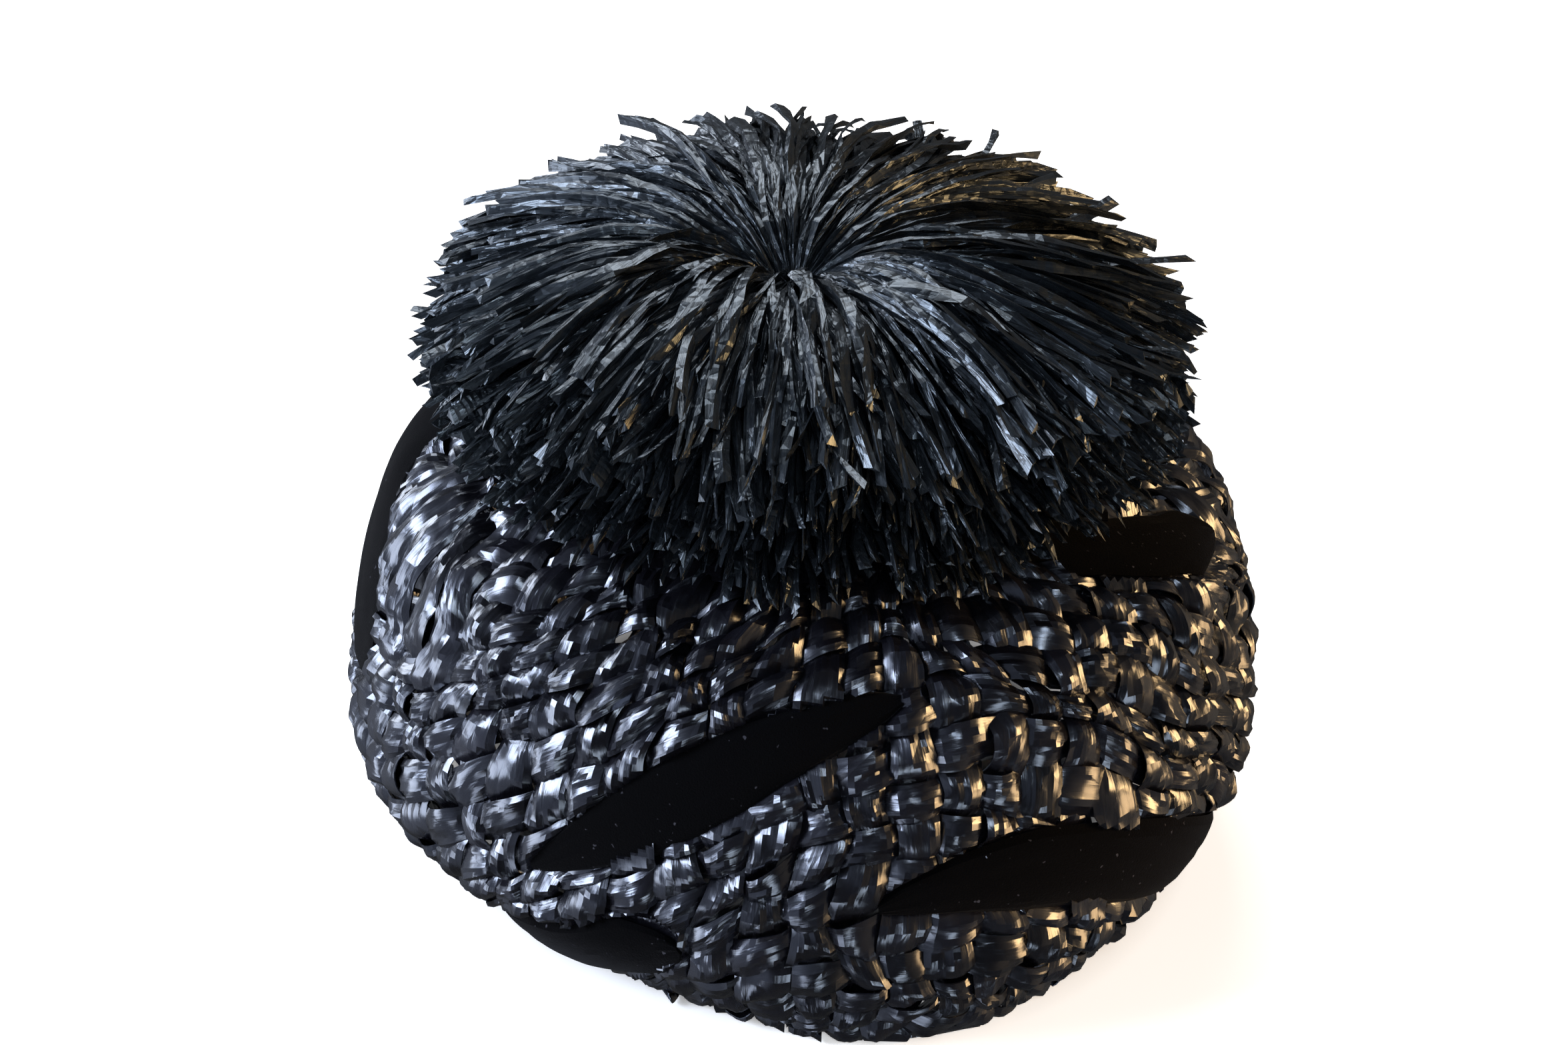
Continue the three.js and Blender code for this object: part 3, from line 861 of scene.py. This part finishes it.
def satin_straw(colour):
    """Charcoal satin straw of the pompom, each straw a little different in colour, and the straws
    of the lower layers painted darker as painted shade.
    """
    material, nodes, links, shader = new_material("satin_pompom_straw")
    grain = add_grain(nodes, links, fibres=1500, crumple=330, share=0.7)
    shade = nodes.new("ShaderNodeAttribute")
    shade.attribute_name = "shade"
    # Low shade values give the painted shade of the lower layers and the heart; higher ones differ
    # at random from straw to straw.
    colours = add_ramp(nodes, links, shade.outputs["Fac"], [
        (0.0, tinted(colour, 0.15)),
        (0.3, tinted(colour, 0.4, (0.95, 1, 1.1))),
        (0.55, tinted(colour, 1.0, (0.95, 1, 1.05))),
        (0.75, tinted(colour, 3.4, (0.98, 1.05, 1))),
        (0.93, tinted(colour, 6.0, (1, 1.05, 1))),
        (0.97, tinted(colour, 3.2, (1.5, 1.15, 0.75)))])
    links.new(colours, shader.inputs["Base Color"])
    rough = add_range(nodes, links, grain.outputs["Streaks"], 0.3, 0.7, low_out=0.18, high_out=0.38)
    links.new(rough, shader.inputs["Roughness"])
    shader.inputs["Specular IOR Level"].default_value = 0.55
    shader.inputs["Specular Tint"].default_value = (0.72, 0.85, 1.0, 1)
    shader.inputs["Coat Weight"].default_value = 0.12
    shader.inputs["Coat Roughness"].default_value = 0.15
    add_bump(nodes, links, shader, grain.outputs["Height"], strength=0.8, distance=1.0 * MM)
    return material


def velvet(colour):
    """Matte black pile with a faint sheen and a few specks of lint."""
    material, nodes, links, shader = new_material("black_velvet")
    place = nodes.new("ShaderNodeTexCoord")
    lint = nodes.new("ShaderNodeTexNoise")
    lint.inputs["Scale"].default_value = 700
    lint.inputs["Detail"].default_value = 1
    links.new(place.outputs["Object"], lint.inputs["Vector"])
    colours = add_ramp(nodes, links, lint.outputs["Fac"], [
        (0.0, colour), (0.74, colour), (0.80, tinted(colour, 24))])
    links.new(colours, shader.inputs["Base Color"])
    pile = nodes.new("ShaderNodeTexNoise")
    pile.inputs["Scale"].default_value = 2600
    pile.inputs["Detail"].default_value = 2
    links.new(place.outputs["Object"], pile.inputs["Vector"])
    shader.inputs["Roughness"].default_value = 1.0
    shader.inputs["Specular IOR Level"].default_value = 0.02
    shader.inputs["Sheen Weight"].default_value = 0.03
    shader.inputs["Sheen Roughness"].default_value = 0.4
    shader.inputs["Sheen Tint"].default_value = (0.6, 0.62, 0.7, 1)
    add_bump(nodes, links, shader, pile.outputs["Fac"], strength=0.6, distance=0.3 * MM)
    return material


def pale_paper():
    """The plain pale floor, which glows faintly round the hat and not under it."""
    material, nodes, links, shader = new_material("pale_floor")
    place = nodes.new("ShaderNodeTexCoord")
    mottle = nodes.new("ShaderNodeTexNoise")
    mottle.inputs["Scale"].default_value = 3
    links.new(place.outputs["Object"], mottle.inputs["Vector"])
    colours = add_ramp(nodes, links, mottle.outputs["Fac"], [
        (0.3, (0.86, 0.855, 0.85)), (0.7, (0.88, 0.875, 0.87))])
    links.new(colours, shader.inputs["Base Color"])
    links.new(colours, shader.inputs["Emission Color"])
    # Painted light: beyond about 7 cm from the middle the floor glows, at full glow from 10 cm,
    # which pales the hat's shadow on it; under the hat it does not glow.
    distance = nodes.new("ShaderNodeVectorMath")
    distance.operation = "LENGTH"
    links.new(place.outputs["Object"], distance.inputs[0])
    glow = add_range(nodes, links, distance.outputs["Value"], 0.07, 0.1, low_out=0.0, high_out=0.7)
    links.new(glow, shader.inputs["Emission Strength"])
    shader.inputs["Roughness"].default_value = 0.9
    shader.inputs["Specular IOR Level"].default_value = 0.1
    return material


def pale_room(strength):
    """A dim room. The floor hides its low lights from all but the gloss of the straw."""
    world = bpy.data.worlds.new("pale_room")
    world.use_nodes = True
    nodes, links = world.node_tree.nodes, world.node_tree.links
    background = nodes["Background"]
    way = nodes.new("ShaderNodeTexCoord").outputs["Generated"]
    total = None
    for pane in ROOM_LIGHTS:
        turn, rise = math.radians(pane["azimuth"]), math.radians(pane["elevation"])
        facing = nodes.new("ShaderNodeVectorMath")
        facing.operation = "DOT_PRODUCT"
        facing.inputs[1].default_value = (
            math.cos(rise) * math.sin(turn), -math.cos(rise) * math.cos(turn), math.sin(rise))
        links.new(way, facing.inputs[0])
        inside = add_range(
            nodes, links, facing.outputs["Value"], math.cos(math.radians(pane["reach"])),
            math.cos(math.radians(pane["reach"] * pane["full"])), 0, pane["strength"])
        light = nodes.new("ShaderNodeVectorMath")
        light.operation = "SCALE"
        light.inputs[0].default_value = pane["colour"]
        links.new(inside, light.inputs["Scale"])
        joined = nodes.new("ShaderNodeVectorMath")
        if total is None:
            joined.inputs[0].default_value = tinted((0.93, 0.96, 1.0), strength)
        else:
            links.new(total, joined.inputs[0])
        links.new(light.outputs["Vector"], joined.inputs[1])
        total = joined.outputs["Vector"]
    links.new(total, background.inputs["Color"])
    return world


# Operators


class HatAddCrown(bpy.types.Operator):
    """Plait the crown from flat glossy straws that pass over and under each other"""

    bl_idname = "hat.add_crown"
    bl_label = "Plaited Crown"

    def execute(self, context):
        sizes = context.scene.hat_crown
        material = glossy_straw(sizes.colour)
        uprights = Plait(sizes, context.scene.hat_ribbons, 11)
        uprights.add_uprights()
        rows = Plait(sizes, context.scene.hat_ribbons, 12)
        rows.add_rows()
        rows.add_top()
        for name, plait in (("upright_straws", uprights), ("level_straws", rows)):
            piece = place_piece(name, plait.parts.build(name, True), material)
            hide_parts("straw_crown")
            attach(piece, "root")
        return {"FINISHED"}


class HatAddRibbons(bpy.types.Operator):
    """Lay the velvet ribbons along their rows of the plait, tucked in at their edges and ends"""

    bl_idname = "hat.add_ribbons"
    bl_label = "Velvet Ribbons"

    # Points of a ribbon's mesh along it and across it.
    stations = 60
    across = 13
    # How far its edges waver, how far its top ripples, and how near it comes to the rim.
    edge_waver = 0.25 * MM
    ripple = 0.10 * MM
    rim_gap = 1.0 * MM

    def execute(self, context):
        sizes = context.scene.hat_ribbons
        surface = CrownSurface(context.scene.hat_crown)
        material = velvet(sizes.colour)
        rng = np.random.default_rng(5)
        for name, ribbon in RIBBONS.items():
            mesh = self.ribbon_mesh(surface, sizes, ribbon, rng, "velvet_" + name)
            piece = place_piece("velvet_" + name, mesh, material)
            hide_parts("velvet_ribbon_" + name)
            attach(piece, "root")
        return {"FINISHED"}

    def ribbon_mesh(self, surface, sizes, ribbon, rng, name):
        """A thin closed band that lies in the crown, with its edges rounded down."""
        stations = self.stations
        share = np.linspace(0, 1, stations)
        azimuth, row, fullness = ribbon_line(surface, ribbon, share)
        along = row + surface.row_rise(azimuth)
        fall = row_fall(surface, azimuth, along)
        length = np.hypot(1, fall)
        half = sizes.width * ribbon["wide"] / 2
        reach = half * fullness + wander(rng, stations, 6, self.edge_waver)
        across = np.linspace(-1, 1, self.across)
        side = reach[:, None] * across[None, :]
        turn = np.degrees(-side * (fall / length)[:, None] / surface.radius_at(along)[:, None])
        places = azimuth[:, None] + turn
        alongs = np.minimum(along[:, None] + side / length[:, None], surface.arc - self.rim_gap)
        rounded = 1 - np.abs(across) ** 8
        puff = sizes.puff * (1 - across ** 2)[None, :] * bell(2 * share - 1)[:, None] ** 0.5
        ripple = np.stack([wander(rng, stations, 7, self.ripple) for _ in across], axis=1)
        top = -sizes.sink + (sizes.edge + sizes.sink) * rounded[None, :] + puff
        top = top + ripple * rounded[None, :]
        stand = ribbon["stand"] * MM * bell(2 * share - 0.8) ** 0.5
        top = top + stand[:, None] * np.clip(across * 0.8 + 0.8, 0, 1)[None, :] ** 0.7
        bottom = np.full_like(top, -sizes.sink)
        front = surface.at(places, alongs, top)
        back = surface.at(places, alongs, bottom)[:, ::-1][:, 1:-1]
        parts = MeshParts()
        rows = np.concatenate([front, back], axis=1)
        travel = np.linspace(0, 1, stations)[:, None] * np.ones((1, rows.shape[1]))
        sides = np.broadcast_to(np.linspace(0, 1, rows.shape[1])[None, :], travel.shape)
        parts.strip(rows[:, ::-1], np.stack([travel, sides], axis=-1), 0.5, True)
        return parts.build(name, True)


class HatAddPompom(bpy.types.Operator):
    """Scatter thousands of flat cut straws in layers round the pompom's tie"""

    bl_idname = "hat.add_pompom"
    bl_label = "Straw Pompom"

    # Different straws in each layer, and clumps that the straws gather in.
    variants = 5
    clumps = 46
    # Share of the way that a straw turns towards its clump.
    gather = 0.45
    # How far clumps and single straws turn, tip and roll, in radians.
    clump_tips = 0.035
    most_clump_tip = 0.045
    clump_rolls = 0.12
    straw_turns = 0.03
    straw_tips = 0.03
    most_straw_tip = 0.05
    tied_rolls = 0.28
    loose_rolls = 0.5
    # A straw's width as a share of the widest: the least, and how far it differs.
    least_width = 0.3
    widths = 0.8

    # Points along a straw that starts at the tie, and along any other.
    tied_points = 13
    loose_points = 8
    # How far a straw's bend differs from its layer's, as shares of the pompom's sizes.
    bend_differs = (0.02, 0.03)
    # How far a straw sways and kinks, how far it twists in radians, and how its width differs.
    sway = 1.6 * MM
    kink = 0.25 * MM
    twist = 0.75
    width_differs = 0.16
    # The least height of a straw's fold, how far it differs, and how far it slips sideways.
    least_fold = 0.45 * MM
    fold_differs = 0.6 * MM
    fold_slip = 0.35
    # How uneven a straw's edges and its cut end are.
    edge_uneven = 0.12 * MM
    cut_uneven = 1.3 * MM
    # Points round the packed straw deep in the pompom, and the ridges on it: number and depth.
    heart_turns = 96
    heart_ridges = ((24, 0.02), (41, 0.012))

    def execute(self, context):
        sizes = context.scene.hat_pompom
        material = satin_straw(sizes.colour)
        rng = np.random.default_rng(sizes.seed)
        straws = bpy.data.collections.new("pompom_straws")
        for number, layer in enumerate(POMPOM_LAYERS):
            for variant in range(self.variants):
                name = f"straw_{number:02d}_{variant}"
                mesh = self.straw_mesh(sizes, layer, number < TIED_LAYERS, rng, name)
                straws.objects.link(bpy.data.objects.new(name, mesh))
        holder = self.scattered_points(sizes, rng)
        tree = self.scatter_tree(straws, material)
        modifier = holder.modifiers.new("scatter", "NODES")
        modifier.node_group = tree
        inputs = {item.name: item.identifier for item in tree.interface.items_tree
                  if item.item_type == "SOCKET" and item.in_out == "INPUT"}
        modifier[inputs["Seed"]] = sizes.seed
        graph = context.evaluated_depsgraph_get()
        mesh = bpy.data.meshes.new_from_object(holder.evaluated_get(graph))
        bpy.data.objects.remove(holder)
        for straw in list(straws.objects):
            bpy.data.objects.remove(straw)
        bpy.data.collections.remove(straws)
        floor = context.scene.hat_crown.height + 0.3 * MM
        mesh.transform(Matrix.Translation((AXIS_X + sizes.shift, 0, floor)))
        mesh.polygons.foreach_set("use_smooth", [False] * len(mesh.polygons))
        mesh.name = "pompom_straws"
        piece = place_piece("pompom_straws", mesh, material)
        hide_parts("straw_pompom")
        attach(piece, "root")
        self.add_heart(sizes, floor, material)
        return {"FINISHED"}

    def straw_mesh(self, sizes, layer, tied, rng, name):
        """One straw along +X in the layer's bend: a thin folded band with a blunt cut end."""
        count = self.tied_points if tied else self.loose_points
        t = np.linspace(0, 1, count)
        first, bend, last = (np.array(layer[key]) for key in ("start", "bend", "end"))
        bend = bend + rng.normal(0, self.bend_differs, 2)
        curve = ((1 - t) ** 2)[:, None] * first + (2 * t * (1 - t))[:, None] * bend
        curve += (t ** 2)[:, None] * last
        x = curve[:, 0] * sizes.diameter / 2
        z = (curve[:, 1] - first[1]) * sizes.height
        y = wander(rng, count, 3, self.sway) * np.minimum(t * 2, 1)
        path = np.stack([x, y, z], axis=-1) + rng.normal(0, self.kink, (count, 3))
        tangent = np.gradient(path, axis=0)
        tangent /= np.linalg.norm(tangent, axis=1)[:, None]
        level = np.array([0.0, 1.0, 0.0])
        upward = np.cross(tangent, level)
        upward /= np.linalg.norm(upward, axis=1)[:, None]
        upward *= np.sign(upward[:, 2:3] + 1e-9)
        twist = wander(rng, count, 4, self.twist)
        side = np.cos(twist)[:, None] * level + np.sin(twist)[:, None] * upward
        face = np.cos(twist)[:, None] * upward - np.sin(twist)[:, None] * level
        spread = np.clip(0.35 + t, 0, 1) if tied else np.ones(count)
        half = sizes.straw_width / 2 * spread * (1 + wander(rng, count, 3, self.width_differs))
        fold = np.abs(wander(rng, count, 3, self.fold_differs)) + self.least_fold
        slip = wander(rng, count, 3, self.fold_slip) * half
        ridge = path + face * fold[:, None] + side * slip[:, None]
        rows = np.stack([path - side * half[:, None], path + side * half[:, None], ridge], axis=1)
        rows += rng.normal(0, self.edge_uneven, rows.shape)
        rows[-1] += tangent[-1] * rng.normal(0, self.cut_uneven, (3, 1))
        travel = np.repeat((t * sizes.diameter / 2)[:, None], 3, axis=1)
        sides = np.array([-0.5, 0.5, 0.0])[None, :] * sizes.straw_width + 0 * travel
        parts = MeshParts()
        parts.strip(rows, np.stack([travel, sides + rng.random()], axis=-1), 0.5, True)
        return parts.build(name, False)

    def scattered_points(self, sizes, rng):
        """A point where each straw starts, with how that straw is turned, tipped and cut."""
        clump_turn = (np.arange(self.clumps) + rng.random(self.clumps)) / self.clumps * 2 * math.pi
        clump_tip = rng.normal(0, self.clump_tips, self.clumps)
        clump_tip = np.clip(clump_tip, -self.most_clump_tip, self.most_clump_tip)
        clump_roll = rng.normal(0, self.clump_rolls, self.clumps)
        radius = sizes.diameter / 2
        found = {name: [] for name in ("place", "turn", "tip", "roll", "reach", "width", "light")}
        picks = []
        for number, layer in enumerate(POMPOM_LAYERS):
            count = layer["straws"]
            tied = number < TIED_LAYERS
            share = (np.arange(count) + rng.random(count)) / count
            azimuth = layer["from"] + share * (layer["to"] - layer["from"])
            turn = np.radians(azimuth - 90)
            away = (clump_turn[None, :] - turn[:, None] + math.pi) % (2 * math.pi) - math.pi
            clump = np.argmin(np.abs(away), axis=1)
            turn = turn + away[np.arange(count), clump] * self.gather
            turn = turn + rng.normal(0, self.straw_turns, count)
            place = np.array([sizes.tie_x, sizes.tie_y]) if tied else np.zeros(2)
            ahead = place[0] * np.cos(turn) + place[1] * np.sin(turn)
            beside = place[1] * np.cos(turn) - place[0] * np.sin(turn)
            reach = (np.sqrt(radius ** 2 - beside ** 2) - ahead) / radius
            reach *= 1 + layer["uneven"] * (rng.random(count) * 1.5 - 1)
            height = layer["start"][1] * sizes.height
            found["place"].append(np.tile([place[0], place[1], height], (count, 1)))
            found["turn"].append(turn)
            tip = np.clip(rng.normal(0, self.straw_tips, count), -self.most_straw_tip,
                          self.most_straw_tip)
            found["tip"].append(clump_tip[clump] + tip)
            rolls = self.tied_rolls if tied else self.loose_rolls
            found["roll"].append(clump_roll[clump] + rng.normal(0, rolls, count))
            found["reach"].append(reach)
            width = self.least_width + self.widths * rng.random(count)
            found["width"].append(width * layer["wide"])
            # Painted shade: each straw carries its layer's light, which darkens the colour of the
            # lower layers.
            found["light"].append(np.full(count, layer["light"]))
            picks.append(number * self.variants + rng.integers(0, self.variants, count))
        values = {name: np.concatenate(parts) for name, parts in found.items()}
        mesh = bpy.data.meshes.new("tie_points")
        mesh.from_pydata(values.pop("place").tolist(), [], [])
        for name, numbers in values.items():
            mesh.attributes.new(name, "FLOAT", "POINT").data.foreach_set(
                "value", numbers.astype(np.float32))
        mesh.attributes.new("pick", "INT", "POINT").data.foreach_set(
            "value", np.concatenate(picks).astype(np.int32))
        holder = bpy.data.objects.new("tie_points", mesh)
        bpy.context.scene.collection.objects.link(holder)
        return holder

    @staticmethod
    def scatter_tree(straws, material):
        """Geometry nodes that set one straw of the right layer at each point."""
        tree = bpy.data.node_groups.new("scatter_straws", "GeometryNodeTree")
        tree.interface.new_socket("Geometry", in_out="INPUT", socket_type="NodeSocketGeometry")
        tree.interface.new_socket("Seed", in_out="INPUT", socket_type="NodeSocketInt")
        tree.interface.new_socket("Geometry", in_out="OUTPUT", socket_type="NodeSocketGeometry")
        nodes, links = tree.nodes, tree.links
        source = nodes.new("NodeGroupInput")
        result = nodes.new("NodeGroupOutput")

        def attribute(name, kind="FLOAT"):
            node = nodes.new("GeometryNodeInputNamedAttribute")
            node.data_type = kind
            node.inputs["Name"].default_value = name
            return node.outputs["Attribute"]

        def joined(x, y, z):
            node = nodes.new("ShaderNodeCombineXYZ")
            for socket, value in zip("XYZ", (x, y, z)):
                if isinstance(value, str):
                    links.new(attribute(value), node.inputs[socket])
                else:
                    node.inputs[socket].default_value = value
            return node.outputs["Vector"]

        kinds = nodes.new("GeometryNodeCollectionInfo")
        kinds.inputs["Collection"].default_value = straws
        kinds.inputs["Separate Children"].default_value = True
        kinds.inputs["Reset Children"].default_value = True
        scatter = nodes.new("GeometryNodeInstanceOnPoints")
        scatter.inputs["Pick Instance"].default_value = True
        links.new(source.outputs["Geometry"], scatter.inputs["Points"])
        links.new(kinds.outputs["Instances"], scatter.inputs["Instance"])
        links.new(attribute("pick", "INT"), scatter.inputs["Instance Index"])
        links.new(joined("roll", "tip", "turn"), scatter.inputs["Rotation"])
        links.new(joined("reach", "width", 1.0), scatter.inputs["Scale"])
        # A straw's shade is a random tone times its layer's light: painted shade that darkens the
        # lower layers.
        chance = nodes.new("FunctionNodeRandomValue")
        chance.data_type = "FLOAT"
        links.new(source.outputs["Seed"], chance.inputs["Seed"])
        shade = nodes.new("ShaderNodeMath")
        shade.operation = "MULTIPLY"
        links.new(next(s for s in chance.outputs if s.enabled), shade.inputs[0])
        links.new(attribute("light"), shade.inputs[1])
        store = nodes.new("GeometryNodeStoreNamedAttribute")
        store.data_type = "FLOAT"
        store.domain = "INSTANCE"
        store.inputs["Name"].default_value = "shade"
        links.new(scatter.outputs["Instances"], store.inputs["Geometry"])
        links.new(shade.outputs["Value"], store.inputs["Value"])
        realize = nodes.new("GeometryNodeRealizeInstances")
        links.new(store.outputs["Geometry"], realize.inputs["Geometry"])
        finish = nodes.new("GeometryNodeSetMaterial")
        finish.inputs["Material"].default_value = material
        links.new(realize.outputs["Geometry"], finish.inputs["Geometry"])
        links.new(finish.outputs["Geometry"], result.inputs["Geometry"])
        return tree

    def add_heart(self, sizes, floor, material):
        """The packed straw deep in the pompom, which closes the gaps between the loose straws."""
        outline = [(row["out"], row["up"]) for row in POMPOM_HEART]
        curve = smooth_curve(np.array(outline), 4)[1:-1]
        turns = self.heart_turns
        angle = np.arange(turns) / turns * 2 * math.pi
        ridge = 1 + sum(depth * np.cos(angle * number) for number, depth in self.heart_ridges)
        radius = curve[:, 0][:, None] * ridge[None, :] * sizes.diameter / 2
        height = floor + curve[:, 1][:, None] * sizes.height + 0 * radius
        middle = AXIS_X + sizes.shift
        rows = np.stack([middle + radius * np.cos(angle), radius * np.sin(angle), height], axis=-1)
        travel = np.linspace(0, 0.1, len(rows))[:, None] + 0 * radius
        sides = np.linspace(0, 0.5, turns)[None, :] + 0 * travel
        parts = MeshParts()
        # Shade 0 gives the heart the darkest colour of the satin straw: painted shade deep in the
        # pompom.
        parts.strip(rows, np.stack([travel, sides], axis=-1), 0.0, True)
        heart = place_piece("pompom_heart", parts.build("pompom_heart", True), material)
        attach(heart, "root")


class HatAddStage(bpy.types.Operator):
    """Set the pale floor, the soft lights and the camera at the hat's front, looking down on it"""

    bl_idname = "hat.add_stage"
    bl_label = "Stage"

    # Picture size, and the pixels where the middle of the hat lies and that one radian covers.
    picture = (2352, 1568)
    target_pixel = (1208, 934)
    radian_pixels = 4650
    target_height = 0.050
    light_distance = 2.5
    sensor_width = 36
    floor_half = 3.0

    def execute(self, context):
        sizes = context.scene.hat_stage
        self.add_floor()
        self.add_camera(context, sizes)
        for row in LIGHTS:
            self.add_light(row, getattr(sizes, row["power"]))
        context.scene.world = pale_room(sizes.room)
        context.scene.view_settings.view_transform = "Standard"
        return {"FINISHED"}

    def add_floor(self):
        half = self.floor_half
        mesh = bpy.data.meshes.new("floor")
        mesh.from_pydata([(-half, -half, 0), (half, -half, 0), (half, half, 0), (-half, half, 0)],
                         [], [(0, 1, 2, 3)])
        floor = place_piece("floor", mesh, pale_paper())
        # The glossy straw mirrors the room and its windows, and not the floor.
        floor.visible_glossy = False

    def add_camera(self, context, sizes):
        tilt = math.radians(sizes.elevation)
        roll = math.radians(sizes.roll)
        ahead = Vector((0, math.cos(tilt), -math.sin(tilt)))
        level = Vector((1, 0, 0))
        upright = Vector((0, math.sin(tilt), math.cos(tilt)))
        across = level * math.cos(roll) + upright * math.sin(roll)
        above = upright * math.cos(roll) - level * math.sin(roll)
        place = Vector((AXIS_X, 0, self.target_height)) - ahead * sizes.distance
        off_x = (self.picture[0] / 2 - self.target_pixel[0]) / self.radian_pixels
        off_y = (self.picture[1] / 2 - self.target_pixel[1]) / self.radian_pixels
        aim = (ahead + across * off_x - above * off_y).normalized()
        side = aim.cross(above).normalized()
        top = side.cross(aim)
        data = bpy.data.cameras.new("camera")
        data.sensor_width = self.sensor_width
        data.lens = self.radian_pixels * self.sensor_width / self.picture[0]
        data.clip_start = 0.01
        camera = bpy.data.objects.new("camera", data)
        turned = Matrix((side, top, -aim)).transposed().to_4x4()
        camera.matrix_world = Matrix.Translation(place) @ turned
        context.scene.collection.objects.link(camera)
        context.scene.camera = camera

    def add_light(self, row, power):
        """A square soft light at an azimuth and elevation from the hat, turned to face it."""
        turn, rise = math.radians(row["azimuth"]), math.radians(row["elevation"])
        level = math.cos(rise)
        way = Vector((level * math.sin(turn), -level * math.cos(turn), math.sin(rise)))
        data = bpy.data.lights.new(row["name"], "AREA")
        data.shape = "SQUARE"
        data.size = row["size"]
        data.energy = power
        data.color = row["colour"]
        lamp = bpy.data.objects.new(row["name"], data)
        place = Vector((0, 0, self.target_height)) + way * self.light_distance
        turned = way.to_track_quat("Z", "Y").to_matrix().to_4x4()
        lamp.matrix_world = Matrix.Translation(place) @ turned
        bpy.context.scene.collection.objects.link(lamp)


class HatPanel(bpy.types.Panel):
    """Lists the hat's pieces and their sizes"""

    bl_idname = "VIEW3D_PT_hat"
    bl_label = "Pillbox Hat"
    bl_space_type = "VIEW_3D"
    bl_region_type = "UI"
    bl_category = "Hat"

    def draw(self, context):
        scene = context.scene
        for group, operator in (
                (scene.hat_crown, HatAddCrown), (scene.hat_ribbons, HatAddRibbons),
                (scene.hat_pompom, HatAddPompom), (scene.hat_stage, HatAddStage)):
            box = self.layout.box()
            for name in type(group).__annotations__:
                box.prop(group, name)
            box.operator(operator.bl_idname)


PROPERTY_GROUPS = {
    "hat_crown": HatCrownSizes,
    "hat_ribbons": HatRibbonSizes,
    "hat_pompom": HatPompomSizes,
    "hat_stage": HatStageSizes,
}
OPERATORS = (HatAddCrown, HatAddRibbons, HatAddPompom, HatAddStage)


def register():
    for name, group in PROPERTY_GROUPS.items():
        bpy.utils.register_class(group)
        setattr(bpy.types.Scene, name, bpy.props.PointerProperty(type=group))
    for operator in OPERATORS:
        bpy.utils.register_class(operator)
    bpy.utils.register_class(HatPanel)


def unregister():
    bpy.utils.unregister_class(HatPanel)
    for operator in reversed(OPERATORS):
        bpy.utils.unregister_class(operator)
    for name, group in PROPERTY_GROUPS.items():
        delattr(bpy.types.Scene, name)
        bpy.utils.unregister_class(group)


def main():
    register()
    bpy.ops.hat.add_crown()
    bpy.ops.hat.add_ribbons()
    bpy.ops.hat.add_pompom()
    bpy.ops.hat.add_stage()


if __name__ == "__main__":
    main()
